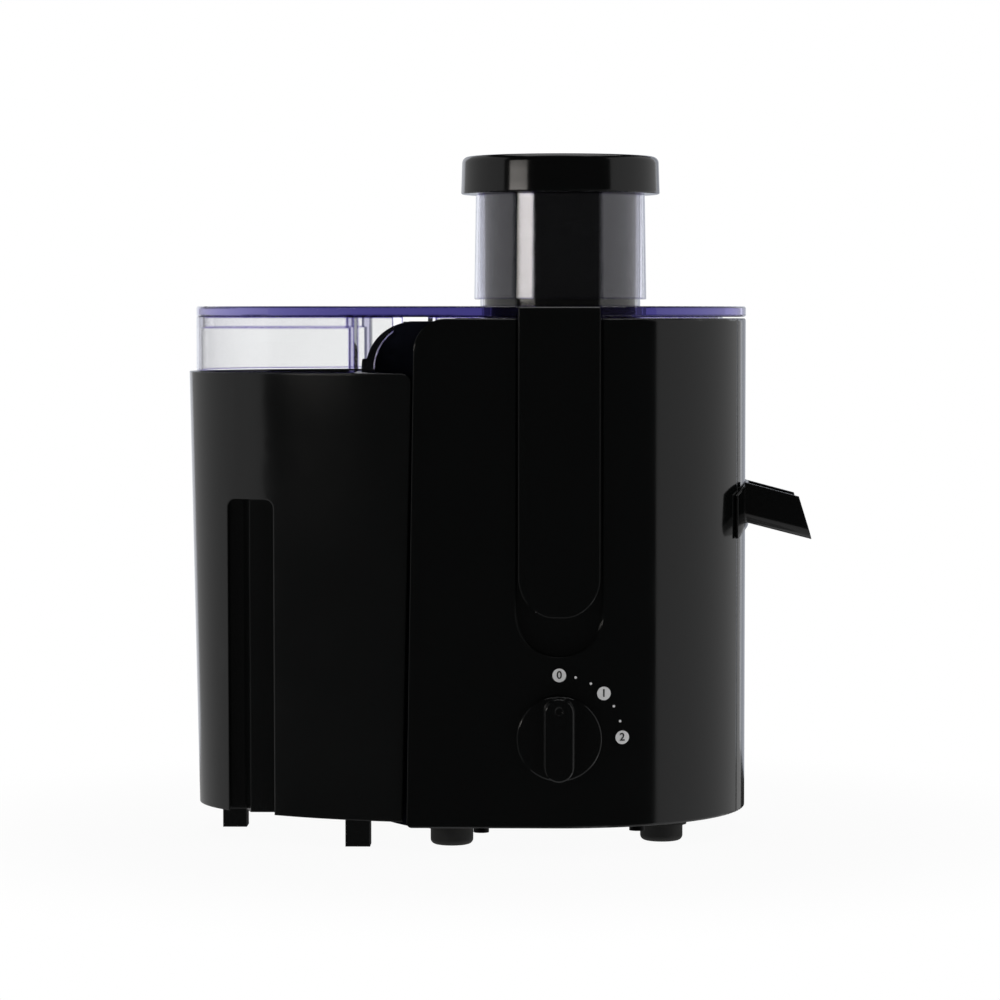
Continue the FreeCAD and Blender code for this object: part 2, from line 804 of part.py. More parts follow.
def make_shell(side, name, *seats):
    """Mould one half of the housing, with its latch recess, hinge lug, screw bosses and inner seats."""
    outer = prism(
        f"{name}_outer", "XY_Plane", "body_bottom", "body_top - body_bottom", housing_outline("0")
    )
    top, bottom = lies_at("Z", "body_top"), lies_at("Z", "body_bottom")
    soften(outer, f"{name}_rims", "rim_round", lambda edge: top(edge) or bottom(edge))
    walls = cut(f"{name}_walls", outer, shell_cavity(name))
    lift, depth = face_lift(side, "recess_floor - recess_wall", "body_inside + fit_gap")
    tray = prism(f"{name}_tray", "XZ_Plane", lift, depth, latch_outline(
        "(recess_half + recess_wall)", "(recess_bottom - recess_wall)", "recess_arc_level", "body_top",
    ))
    spots = (
        ("left", "-boss_left_x", f"{side} * boss_left_y"),
        ("right", "boss_right_x", f"{side} * boss_right_y"),
    )
    bosses = [
        rod(f"{name}_boss_{end}", "boss_radius", "boss_height", x, y, "body_bottom + base_thick")
        for end, x, y in spots
    ]
    within = prism(
        f"{name}_within", "XY_Plane", "body_bottom", "body_top - body_bottom", housing_outline("fit_gap")
    )
    inside = common(f"{name}_inside", fuse(f"{name}_added", tray, *bosses, *seats), within)
    lift, depth = face_lift(side, "recess_floor", "body_radius + shell_wall")
    recess = prism(f"{name}_recess", "XZ_Plane", lift, depth, latch_outline(
        "recess_half", "recess_bottom", "recess_arc_level", "(body_top + shell_wall)",
    ))
    pilots = [
        rod(f"{name}_pilot_{end}", "screw_radius", "screw_grip + base_thick", x, y, "body_bottom")
        for end, x, y in spots
    ]
    room = rod(f"{name}_bowl_room", "bowl_room", "through", "0", "0", "deck_top")
    shell = cut(f"{name}_bored", fuse(f"{name}_full", walls, inside), recess, room, *pilots)

    lug_width = "pivot_depth - recess_floor + recess_wall / 2"
    lug_y = "-pivot_depth" if side == FRONT else "recess_floor - recess_wall / 2"
    lug = fuse(
        f"{name}_lug",
        rod(f"{name}_lug_end", "lug_radius", "2 * lug_half", "-lug_half", f"{side} * pivot_depth",
            "pivot_level", "X"),
        block(f"{name}_lug_arm", "-lug_half", lug_y, "pivot_level - lug_radius", "2 * lug_half", lug_width,
              "2 * lug_radius"),
    )
    bore = rod(f"{name}_lug_bore", "pivot_radius + run_gap / 2", "2 * pivot_half", "-pivot_half",
               f"{side} * pivot_depth", "pivot_level", "X")
    shell = cut(f"{name}_lugged", fuse(f"{name}_with_lug", shell, lug), bore)

    if side == FRONT:
        near, far = "seam_depth + seam_gap / 2", "through"
    else:
        near, far = "-through", "seam_depth - seam_gap / 2"
    half = prism(f"{name}_half", "XZ_Plane", near, f"{far} - ({near})", [
        ("-edge_top", "body_top", "edge_round"), ("-edge_bottom", "body_bottom", "shell_wall"),
        ("through", "body_bottom"), ("through", "body_top"),
    ])
    return common(f"{name}_trimmed", shell, half)


def make_shells():
    """Make the front and rear shells with the openings that each one has."""
    seat = block("switch_seat", "-switch_width / 2", "-body_inside - fit_gap",
                 "knob_level - switch_height / 2", "switch_width", "body_inside + fit_gap - switch_face",
                 "switch_height")
    front = make_shell(FRONT, "front", seat)
    spindle = rod("front_spindle_hole", "bush_radius + fit_gap", "through", "0",
                  "-through - switch_face + fit_gap", "knob_level", "Y")
    plunger = rod("front_plunger_hole", "interlock_radius + run_gap", "through", "0", "-through",
                  "interlock_level", "Y")
    node(cut("front_holes", front, spindle, plunger), "front_shell")

    rear = make_shell(REAR, "rear")
    half = "(outlet_half + bowl_wall + fit_gap)"
    slot = block("outlet_slot", "0", f"-{half}", "bowl_floor - fit_gap", "through", f"2 * {half}",
                 "bowl_floor_thick + outlet_height + 2 * fit_gap")
    inlet = rod("inlet_hole", "inlet_radius + run_gap", "through", "-inlet_x", "0", "inlet_level", "Y")
    node(cut("rear_holes", rear, slot, inlet), "rear_shell")


def screw(name, x, y, head_level, grip, head_up):
    """Return one screw: a round head and a shank that points away from it."""
    head_z = head_level if head_up else f"{head_level} - screw_head_thick"
    shank_z = f"{head_level} - ({grip})" if head_up else head_level
    return fuse(
        name,
        rod(f"{name}_head", "screw_head", "screw_head_thick", x, y, head_z),
        rod(f"{name}_shank", "screw_radius - run_gap", grip, x, y, shank_z),
    )


def make_base():
    """Make the base plate with its vents, the feet, and the screws that hold the plate."""
    spots = [
        (f"{end}_{face}", end, x, y)
        for end, x in (("left", -1), ("right", 1)) for face, y in (("front", FRONT), ("rear", REAR))
    ]
    plate = prism("base_blank", "XY_Plane", "body_bottom", "base_thick", floor_outline())
    holes = []
    for name, end, x, y in spots:
        holes.append(rod(f"base_hole_{name}", "screw_radius", "through", f"{x} * boss_{end}_x",
                         f"{y} * boss_{end}_y", "0"))
    vents = [
        block(f"vent_{step}", f"{step} * vent_pitch - vent_width / 2", "-vent_length / 2", "0",
              "vent_width", "vent_length", "through")
        for step in range(-VENTS_PER_SIDE, VENTS_PER_SIDE + 1)
    ]
    node(cut("base_holes", plate, fuse("base_openings", *holes, *vents)), "base_plate")

    screws = []
    feet = []
    for name, end, x, y in spots:
        screws.append(screw(f"base_screw_{name}", f"{x} * boss_{end}_x", f"{y} * boss_{end}_y",
                            "body_bottom", "base_thick + screw_grip", False))
        foot = turned(f"foot_{name}", [
            ("0", "0"), ("foot_radius", "0", "foot_round"),
            ("foot_radius", "body_bottom - foot_flange_thick"),
            ("foot_flange", "body_bottom - foot_flange_thick"), ("foot_flange", "body_bottom"),
            ("0", "body_bottom"),
        ])
        bind(foot, "Placement.Base.x", f"{x} * foot_{end}_x")
        bind(foot, "Placement.Base.y", f"{y} * foot_{end}_y")
        feet.append(foot)
    node(group("base_screw_group", *screws), "base_screws")
    node(group("foot_group", *feet), "rubber_feet")


def make_deck():
    """Make the deck that carries the bowl and the motor, with a collar for the shaft seal."""
    plate = prism("deck_blank", "XY_Plane", "deck_level", "deck_thick", floor_outline())
    collar = turned("deck_collar", [
        ("shaft_radius + shaft_clear", "deck_level"), ("seal_radius + collar_wall", "deck_level"),
        ("seal_radius + collar_wall", "deck_top + seal_height"), ("seal_radius", "deck_top + seal_height"),
        ("seal_radius", "deck_top"), ("shaft_radius + shaft_clear", "deck_top"),
    ])
    bore = rod("deck_bore", "seal_radius", "through", "0", "0", "0")
    holes = [
        rod(f"deck_hole_{name}", "screw_radius", "through", x, y, "0") for name, x, y in bush_spots()
    ]
    notch = "(recess_half + recess_wall + fit_gap)"
    depth = "(recess_floor - recess_wall - fit_gap)"
    notches = [
        block(f"deck_notch_{name}", f"-{notch}", y, "0", f"2 * {notch}", "through", "through")
        for name, y in (("front", f"-through - {depth}"), ("rear", depth))
    ]
    node(fuse("deck_joined", cut("deck_holes", plate, bore, *holes, *notches), collar), "motor_deck")
    node(ring("seal_ring", "bearing_bore", "seal_radius - run_gap", "deck_top", "deck_top + seal_height"),
         "shaft_seal")


def bush_spots():
    """Return a name and a place for each of the motor's four rubber bushes."""
    reach = "bush_mount_pcd * sqrt(0.5)"
    return [(f"{i}{j}", f"{x} * {reach}", f"{y} * {reach}") for i, x in enumerate((-1, 1))
            for j, y in enumerate((-1, 1))]


# Bowl and spout

def make_bowl():
    """Make the juice bowl with its pulp window, its outlet channel and the ring that it stands on."""
    step = "skirt_radius + fit_gap"
    outer = "bowl_radius + bowl_wall"
    wall = turned("bowl_wall_body", [
        ("bowl_boss_radius", "bowl_floor"), (outer, "bowl_floor"), (outer, "bowl_ledge - bowl_wall"),
        (f"{step} + bowl_wall", "bowl_ledge - bowl_wall"), (f"{step} + bowl_wall", "bowl_top"),
        (step, "bowl_top"), (step, "bowl_ledge"), ("bowl_radius", "bowl_ledge"),
        ("bowl_radius", "bowl_floor + bowl_floor_thick", "bowl_round"),
        ("bowl_boss_radius + bowl_wall", "bowl_floor + bowl_floor_thick"),
        ("bowl_boss_radius + bowl_wall", "bowl_boss_top"), ("bowl_boss_radius", "bowl_boss_top"),
    ])
    foot = ring("bowl_foot", "bowl_foot_radius - bowl_wall", "bowl_foot_radius", "deck_top", "bowl_floor")
    width = "(outlet_half + bowl_wall)"
    height = "bowl_floor_thick + outlet_height"
    nozzle = cut(
        "bowl_nozzle",
        block("bowl_nozzle_block", "0", f"-{width}", "bowl_floor", "outlet_reach", f"2 * {width}", height),
        rod("bowl_nozzle_root", "bowl_radius + bowl_wall / 2", "through", "0", "0", "0"),
    )
    channel = block("bowl_channel", "bowl_radius - bowl_round", "-outlet_half",
                    "bowl_floor + bowl_floor_thick", "through", "2 * outlet_half",
                    "outlet_height - bowl_wall")
    window = block("bowl_window", "-through", "-pulp_half", "pulp_floor", "through", "2 * pulp_half",
                   "through")
    node(cut("bowl_cut", fuse("bowl_full", wall, foot, nozzle), channel, window), "juice_bowl")


def make_spout():
    """Make the spout: a collar that hugs the housing and an open trough that slopes down from it."""
    drop = "collar_drop"
    low = "(collar_top - collar_height)"
    band = prism("collar_band", "YZ_Plane", "0", "through", [
        ("-collar_half", f"collar_top - {drop}"), ("via", "0", "collar_top"),
        ("collar_half", f"collar_top - {drop}"), ("collar_half", f"{low} - {drop}"), ("via", "0", low),
        ("-collar_half", f"{low} - {drop}"),
    ])
    hug = ring("collar_ring", "body_radius + fit_gap", "body_radius + fit_gap + collar_thick",
               "body_bottom", "body_top")
    collar = common("collar", band, hug)
    outer = prism("trough_outer", "XZ_Plane", "-spout_half", "2 * spout_half", [
        ("spout_root", "spout_root_bottom"), ("spout_reach", "spout_lip_z"), ("spout_rim_x", "spout_rim_z"),
        ("spout_root", "spout_root_top"),
    ])
    inner_half = "(spout_half - spout_wall)"
    inner = prism("trough_inner", "XZ_Plane", f"-{inner_half}", f"2 * {inner_half}", [
        ("spout_root - spout_wall", "spout_root_bottom + spout_wall"),
        ("spout_reach + spout_wall", "spout_lip_z + spout_wall"),
        ("spout_reach + spout_wall", "spout_root_top + spout_wall"),
        ("spout_root - spout_wall", "spout_root_top + spout_wall"),
    ])
    low = number("spout_root_bottom")

    def under_edge(edge):
        return edge.CenterOfMass.z < low - 1 and edge.BoundBox.YLength < 1

    soften(outer, "trough_outer_round", "spout_under_round", under_edge)
    room = rod("trough_room", "body_radius + fit_gap", "through", "0", "0", "0")
    trough = cut("trough", outer, inner, room)
    sill = "(spout_root_bottom + spout_wall)"
    passage = block("collar_passage", "0", f"-{inner_half}", sill, "through", f"2 * {inner_half}",
                    f"bowl_floor + bowl_floor_thick + outlet_height + fit_gap - {sill}")
    node(cut("spout_cut", fuse("spout_full", collar, trough), passage), "juice_spout")


# Lid

def make_lid():
    """Make the clear lid: plate, feed tube, locating skirt, and the hood over the container."""
    flat = oval_side("hood_inset", "bin_centre")
    plate = prism("lid_plate", "XY_Plane", "lid_bottom", "lid_thick", [
        ("0", "-body_radius"), ("-bin_centre", f"-{flat}"), *oval_tail("hood_inset"), ("-bin_centre", flat),
        ("0", "body_radius"), ("via", "body_radius", "0"),
    ])
    top, bottom = lies_at("Z", "lid_bottom + lid_thick"), lies_at("Z", "lid_bottom")
    soften(plate, "lid_plate_rim", "lid_round", lambda edge: top(edge) or bottom(edge))
    tube = ring("lid_tube", "tube_bore", "tube_radius", "tube_bottom", "tube_top")
    bore = rod("lid_bore", "tube_bore", "through", "0", "0", "0")
    skirt = ring("lid_skirt", "skirt_radius - skirt_wall", "skirt_radius", "bowl_ledge", "lid_bottom")
    gate = block("skirt_gate", "-through", "-(tunnel_half - hood_wall)", "0", "through",
                 "2 * (tunnel_half - hood_wall)", "lid_bottom")

    seat = "bin_top + hood_seat_gap"
    hood = hood_prism("hood_outer", "hood_inset", "hood_right - hood_wall", seat, "lid_bottom")
    room = hood_prism("hood_room", "(hood_inset + hood_wall)", "hood_right", "0",
                      "lid_bottom - hood_step_drop")
    upper = hood_prism("hood_upper", "(hood_inset + hood_wall + hood_step)", "hood_right + hood_step", "0",
                       "lid_bottom")
    inner = "(tunnel_half - hood_wall)"
    mouth = "(hood_right + 2 * hood_wall)"
    passage = block("tunnel_room", f"-{mouth}", f"-{inner}", "0", mouth, f"2 * {inner}", "lid_bottom")
    sides = [
        block(f"tunnel_{name}", "-hood_right", y, seat, "hood_right - skirt_radius", "hood_wall",
              f"lid_bottom - ({seat})")
        for name, y in (("front", "-tunnel_half"), ("rear", inner))
    ]
    shoulder = bulge_block("lid_shoulder_room", "fit_gap", "0", "shoulder_top + fit_gap")
    tunnel = cut("tunnel_walls", fuse("tunnel_sides", *sides), shoulder)
    hollow = cut("hood_hollow", hood, room, upper, passage)
    whole = fuse("lid_whole", cut("lid_bored", plate, bore), tube, cut("skirt_cut", skirt, gate), hollow,
                 tunnel)

    notch = "(latch_half + notch_gap)"
    notches = []
    for name, side in (("front", FRONT), ("rear", REAR)):
        deep = "-through" if side == FRONT else "latch_back - hook_gap"
        arm = block(f"notch_{name}", f"-{notch}", deep, "0", f"2 * {notch}",
                    "through - latch_back + hook_gap", "through")
        step_y = "-through" if side == FRONT else "hook_reach - hook_gap"
        step = block(f"ledge_{name}", f"-{notch}", step_y, "lid_bottom + ledge_thin", f"2 * {notch}",
                     "through - hook_reach + hook_gap", "through")
        notches += [arm, step]
    node(cut("lid_cut", whole, *notches), "lid")


def hood_prism(name, inset, right, bottom, top):
    """Return a block with the oval's left end and a flat right side."""
    side = oval_side(inset, f"({right})")
    items = [(f"-({right})", f"-{side}"), *oval_tail(inset), (f"-({right})", side)]
    return prism(name, "XY_Plane", bottom, f"{top} - ({bottom})", items)


# Pusher

def make_pusher():
    """Make the pusher's plunger, its clear outer sleeve and its cap."""
    top = "cap_bottom + cap_height"
    inner = "plunger_radius - plunger_wall"
    floor = "plunger_bottom + plunger_wall"
    node(turned("plunger", [
        ("0", "plunger_bottom"), ("plunger_tip_radius", "plunger_bottom", "plunger_wall"),
        ("plunger_radius", "cap_bottom"), (inner, "cap_bottom"),
        ("plunger_tip_radius - plunger_wall", floor), ("0", floor),
    ]), "pusher_plunger")
    node(turned("sleeve", [
        ("sleeve_radius - sleeve_wall", "sleeve_bottom"),
        ("sleeve_radius", "sleeve_bottom", "sleeve_wall / 3"), ("sleeve_top_radius", "cap_bottom"),
        ("sleeve_top_radius - sleeve_wall", "cap_bottom"),
    ]), "pusher_sleeve")
    node(turned("cap", [
        ("0", "cap_bottom"), ("cap_radius", "cap_bottom", "cap_edge / 4"),
        ("cap_radius - cap_taper", f"{top} - cap_crown", "cap_edge"), ("0", top),
    ]), "pusher_cap")


# Latches

def make_latch(side, name):
    """Make one latch: a strap with a hook at the top and a slot for the hinge lug at its lower end."""
    front, back, hook = (f"{side} * {d}" for d in ("latch_front", "latch_back", "hook_reach"))
    section = [
        (front, "latch_bottom", "latch_edge"), (front, "latch_top", "latch_edge"), (hook, "latch_top"),
        (hook, "latch_top - hook_thick"), (back, "latch_top - hook_thick"),
        (back, "latch_bottom + latch_chamfer"), (f"{side} * (latch_back + latch_chamfer)", "latch_bottom"),
    ]
    bar = prism(f"{name}_bar", "YZ_Plane", "-latch_half", "2 * latch_half", section)
    lift, depth = face_lift(side, "hook_reach - shell_wall", "latch_front + shell_wall")
    face = prism(f"{name}_face", "XZ_Plane", lift, depth, latch_outline(
        "latch_half", "latch_bottom", "latch_arc_level", "(latch_top + shell_wall)",
    ))
    reach = "(lug_radius + fit_gap)"
    slot_y = f"-(pivot_depth + {reach})" if side == FRONT else "latch_back - through + pivot_depth"
    slot_width = "through" if side == FRONT else f"through - latch_back + {reach}"
    slot = block(f"{name}_slot", "-slot_half", slot_y, "0", "2 * slot_half", slot_width,
                 f"pivot_level + {reach}")
    bore_half = "(pivot_half + fit_gap)"
    bore = rod(f"{name}_bore", "pivot_radius + run_gap", f"2 * {bore_half}", f"-{bore_half}",
               f"{side} * pivot_depth", "pivot_level", "X")
    strap = common(f"{name}_strap", bar, face)
    node(cut(f"{name}_cut", strap, slot, bore), name)


def make_latches():
    """Make both latches and the pins that they swing on."""
    make_latch(FRONT, "front_latch")
    make_latch(REAR, "rear_latch")
    pins = [
        rod(f"latch_pin_{name}", "pivot_radius", "2 * pivot_half", "-pivot_half", f"{side} * pivot_depth",
            "pivot_level", "X")
        for name, side in (("front", FRONT), ("rear", REAR))
    ]
    node(group("latch_pin_group", *pins), "latch_pins")


# Knob, switch and interlock

def make_knob():
    """Make the speed knob: a round base with a grip bar across it, hollow over the switch's nut."""
    base = disc("knob_base_disc", "XZ_Plane", "knob_back", "knob_base", "0", "knob_level", "knob_radius")
    soften(base, "knob_base_edge", "knob_edge", lies_at("Y", "-(knob_back + knob_base)"))
    end = "(knob_radius - knob_gap)"
    run = f"({end} - bar_half)"
    bar = prism("knob_bar", "XZ_Plane", "knob_back", "knob_height", [
        ("-bar_half", f"knob_level + {run}"), ("-bar_half", f"knob_level - {run}"),
        ("via", "0", f"knob_level - {end}"), ("bar_half", f"knob_level - {run}"),
        ("bar_half", f"knob_level + {run}"), ("via", "0", f"knob_level + {end}"),
    ])
    soften(bar, "knob_bar_edge", "bar_edge", lies_at("Y", "-knob_front"))
    cover = "nut_thick + 2 * knob_gap"
    hollow = rod("knob_hollow", "2 * nut_flat / sqrt(3) + nut_clear", cover, "0", f"-(knob_back + {cover})",
                 "knob_level", "Y")
    socket = rod("knob_socket", "spindle_radius", "knob_height - 2 * knob_gap", "0",
                 "-(knob_front - 2 * knob_gap)", "knob_level", "Y")
    dimple = rod("knob_dimple", "dimple_radius", "through", "0", "-(through + knob_front - dimple_depth)",
                 "knob_level + knob_radius - dimple_inset", "Y")
    node(cut("knob_cut", fuse("knob_blank", base, bar), hollow, socket, dimple), "control_knob")
    node(rod("spindle", "spindle_radius", "spindle_length", "0", "-(knob_front - 2 * knob_gap)",
             "knob_level", "Y"), "switch_spindle")


def make_switch():
    """Make the rotary switch behind the front shell and the nut that clamps it there."""
    box = block("switch_box", "-switch_width / 2", "-switch_face", "knob_level - switch_height / 2",
                "switch_width", "switch_depth", "switch_height")
    neck = rod("switch_neck", "bush_radius", "body_radius - switch_face + nut_thick", "0",
               "-(body_radius + nut_thick)", "knob_level", "Y")
    bore = rod("switch_bore", "spindle_radius + run_gap", "through", "0",
               "-through + spindle_length - (knob_front - 2 * knob_gap) + fit_gap", "knob_level", "Y")
    node(cut("switch_cut", fuse("switch_full", box, neck), bore), "speed_switch")
    slant = "nut_flat / sqrt(3)"
    node(prism("nut", "XZ_Plane", "body_radius", "nut_thick", [
        (f"2 * {slant}", "knob_level"), (slant, "knob_level + nut_flat"),
        (f"-{slant}", "knob_level + nut_flat"), (f"-2 * {slant}", "knob_level"),
        (f"-{slant}", "knob_level - nut_flat"), (slant, "knob_level - nut_flat"),
    ], [("0", "knob_level", "bush_radius")]), "switch_nut")


def make_interlock():
    """Make the safety switch that the front latch presses, and its plunger."""
    face = "(recess_floor - recess_wall)"
    tip = "(latch_back - fit_gap)"
    box = block("interlock_box", "-interlock_width / 2", f"-{face}",
                "interlock_level - interlock_height / 2", "interlock_width", "interlock_depth",
                "interlock_height")
    length = f"({tip} - {face} + interlock_depth / 2)"
    bore = rod("interlock_bore", "interlock_radius + run_gap", f"{length} + fit_gap", "0", f"-{tip}",
               "interlock_level", "Y")
    node(cut("interlock_cut", box, bore), "interlock_switch")
    node(rod("plunger_stem", "interlock_radius", length, "0", f"-{tip}", "interlock_level", "Y"),
         "interlock_plunger")


# Pulp container

def groove_outline(grow, side, inset):
    """Return the finger groove's plan: a deep slot at its left, then a ridge and a flat shelf."""
    left, slot = f"(groove_left + {grow})", f"(groove_slot - {grow})"
    ridge, right = f"(groove_ridge - {grow})", f"(groove_right - {grow})"
    out = "(bin_half + bin_wall)"
    slot_y = f"{oval_end(inset, 'groove_left')} - slot_depth - {grow}"
    shelf_y = f"{oval_side(inset, 'groove_ridge')} - shelf_depth - {grow}"
    points = [(left, out), (left, slot_y), (slot, slot_y), (ridge, shelf_y), (right, shelf_y), (right, out)]
    return [(f"-{x}", f"{side} * ({y})") for x, y in points]


def groove_block(name, grow, side):
    """Return the room of one finger groove, drafted as the wall is and round at its upper corners."""
    column = loft(f"{name}_column", groove_outline(grow, side, "bin_draft"), groove_outline(grow, side, "0"),
                  "bin_bottom", "bin_top")
    lift, depth = face_lift(side, "0", "through")
    left, right, top = f"-(groove_left + {grow})", f"-(groove_right - {grow})", f"groove_top + {grow}"
    face = prism(f"{name}_face", "XZ_Plane", lift, depth, [
        (left, top, "groove_round"), (left, "0"), (right, "0"), (right, top, "groove_round"),
    ])
    return common(name, column, face)


def make_container():
    """Make the pulp container: drafted walls, finger grooves front and back, and three feet."""
    tall = "(bin_top - bin_bottom)"
    low_edge = "(bin_edge + bin_draft)"
    outer = loft("bin_outer", bin_outline("bin_draft", low_edge, "(bin_gap + bin_draft)"),
                 bin_outline("0", "bin_edge", "bin_gap"), "bin_bottom", "bin_top")
    wall_edge = "bin_corner + 3 * bin_wall"
    room = loft(
        "bin_room",
        bin_outline("(bin_draft + bin_wall)", f"({low_edge} + {wall_edge})",
                    "(bin_gap + bin_draft + bin_wall)"),
        bin_outline("bin_wall", f"(bin_edge + {wall_edge})", "(bin_gap + bin_wall)"),
        "bin_bottom + bin_wall", f"bin_bottom + bin_wall + {tall}",
    )
    sides = (("front", FRONT), ("rear", REAR))
    grooves = [groove_block(f"groove_{name}", "0", side) for name, side in sides]
    humps = [groove_block(f"hump_{name}", "bin_wall", side) for name, side in sides]
    frame = prism("bin_frame", "XZ_Plane", "-through", "2 * through", [
        ("-through", "bin_top"), ("-through", "0"), (f"-({low_edge} - fit_gap)", "0"),
        (f"-({low_edge} - fit_gap)", "bin_bottom"), ("-(bin_edge - fit_gap)", "bin_top", "bin_corner_round"),
    ])
    solid = cut("bin_solid", outer, *grooves)
    hollow = cut("bin_hollow", room, *humps)
    foot_width = "2 * bin_foot_half"
    feet = [
        block(f"bin_foot_{name}", f"-({x} + bin_foot_half)", f"{y} - bin_foot_half", "0", foot_width,
              foot_width, "bin_bottom + bin_wall / 2")
        for name, x, y in (
            ("left", "bin_left_foot_x", "0"), ("front", "bin_right_foot_x", "-bin_right_foot_y"),
            ("rear", "bin_right_foot_x", "bin_right_foot_y"),
        )
    ]
    shell = common("bin_shell", cut("bin_walls", solid, hollow), frame)
    node(fuse("bin_full", shell, *feet), "pulp_container")


# Motor and rotor

def sector(name, inner, outer, bottom, height, side):
    """Return a piece of a ring that faces left or right of the drive axis."""
    across = "cos(coil_half_angle)"
    up = "sin(coil_half_angle)"
    return prism(name, "XY_Plane", bottom, height, [
        (f"{side} * {inner} * {across}", f"-{inner} * {up}"),
        (f"{side} * {outer} * {across}", f"-{outer} * {up}"),
        ("via", f"{side} * {outer}", "0"), (f"{side} * {outer} * {across}", f"{outer} * {up}"),
        (f"{side} * {inner} * {across}", f"{inner} * {up}"), ("via", f"{side} * {inner}", "0"),
    ])


def bracket(name, plate_bottom, radius, housing_bottom, column_bottom, column_top, holes):
    """Return one motor bracket: a round plate, a bearing housing and two columns to the stator."""
    plate = ring(f"{name}_plate", "housing_radius - housing_wall / 2", radius, plate_bottom,
                 f"{plate_bottom} + bracket_thick")
    housing = ring(f"{name}_housing", "bearing_radius", "housing_radius", housing_bottom,
                   f"{housing_bottom} + bearing_height")
    columns = [
        rod(f"{name}_column_{end}", "column_radius", f"{column_top} - ({column_bottom})", "0",
            f"{side} * column_depth", column_bottom)
        for end, side in (("front", FRONT), ("rear", REAR))
    ]
    bolts = [
        rod(f"{name}_bolt_hole_{end}", "bolt_radius + run_gap", "through", "0", f"{side} * column_depth", "0")
        for end, side in (("front", FRONT), ("rear", REAR))
    ]
    return cut(f"{name}_cut", fuse(f"{name}_full", plate, housing, *columns), *bolts, *holes)


def make_motor():
    """Make the fixed parts of the motor, from the brackets to the brushes."""
    upper = "upper_bracket_level"
    lower = "lower_bracket_level"
    upper_bearing = "upper_bracket_level + bracket_thick - bearing_height"
    holes = [
        rod(f"bracket_hole_{name}", "screw_radius", "through", x, y, "0") for name, x, y in bush_spots()
    ]
    node(bracket("upper_bracket", upper, "upper_bracket_radius", upper_bearing, "stator_top", upper, holes),
         "upper_bracket")
    node(bracket("lower_bracket", lower, "lower_bracket_radius", lower, f"{lower} + bracket_thick",
                 "stator_bottom", []), "lower_bracket")
    for name, level in (("upper_bearing", upper_bearing), ("lower_bearing", lower)):
        node(ring(f"{name}_ring", "bearing_bore", "bearing_radius - run_gap", level,
                  f"{level} + bearing_height"), name)

    bolts = []
    for name, side in (("front", FRONT), ("rear", REAR)):
        y = f"{side} * column_depth"
        top = f"{upper} + bracket_thick"
        bolts.append(fuse(
            f"motor_bolt_{name}",
            rod(f"motor_bolt_{name}_shank", "bolt_radius", f"{top} - {lower}", "0", y, lower),
            rod(f"motor_bolt_{name}_head", "bolt_head", "bracket_thick", "0", y, top),
        ))
    node(group("motor_bolt_group", *bolts), "motor_bolts")

    bore = "armature_radius + air_gap"
    core = ring("stator_ring", bore, "stator_radius", "stator_bottom", "stator_top")
    slots = [
        sector(f"coil_slot_{side}", "(coil_inner - fit_gap)", "(coil_outer + fit_gap)", "0", "through", side)
        for side in (-1, 1)
    ]
    bolt_holes = [
        rod(f"stator_hole_{end}", "bolt_radius + run_gap", "through", "0", f"{side} * column_depth", "0")
        for end, side in (("front", FRONT), ("rear", REAR))
    ]
    node(cut("stator_cut", core, *slots, *bolt_holes), "stator_core")
    coils = [
        sector(f"coil_{side}", "coil_inner", "coil_outer", "stator_bottom - coil_overhang",
               "stator_height + 2 * coil_overhang", side)
        for side in (-1, 1)
    ]
    node(group("coil_group", *coils), "field_coils")

    brushes = []
    holders = []
    for name, side in (("left", -1), ("right", 1)):
        near = "commutator_radius + run_gap"
        x = near if side > 0 else f"-({near} + brush_length)"
        level = "commutator_bottom + (commutator_height - brush_height) / 2"
        brushes.append(block(f"brush_{name}", x, "-brush_width / 2", level, "brush_length", "brush_width",
                             "brush_height"))
        start = "commutator_radius + holder_gap"
        hx = start if side > 0 else f"-({start} + brush_length)"
        half = "(brush_width / 2 + holder_wall)"
        tube = block(f"holder_{name}_tube", hx, f"-{half}", f"{lower} + bracket_thick", "brush_length",
                     f"2 * {half}", f"{level} + brush_height + holder_wall - ({lower} + bracket_thick)")
        room = block(f"holder_{name}_room", hx, "-(brush_width / 2 + run_gap)", f"{level} - run_gap",
                     "brush_length - holder_wall" if side > 0 else "brush_length",
                     "brush_width + 2 * run_gap", "brush_height + 2 * run_gap")
        if side < 0:
            bind(room, "Placement.Base.x", f"{hx} + holder_wall")
        holders.append(cut(f"holder_{name}", tube, room))
    node(group("brush_group", *brushes), "carbon_brushes")
    node(group("holder_group", *holders), "brush_holders")

    bushes = []
    screws = []
    for name, x, y in bush_spots():
        bushes.append(disc(f"bush_{name}", "XY_Plane", f"{upper} + bracket_thick",
                           f"deck_level - ({upper} + bracket_thick)", x, y, "bush_mount_radius",
                           [(x, y, "screw_radius")]))
        screws.append(screw(f"mount_screw_{name}", x, y, upper, f"deck_top - {upper}", False))
    node(group("bush_group", *bushes), "motor_bushes")
    node(group("mount_screw_group", *screws), "motor_screws")


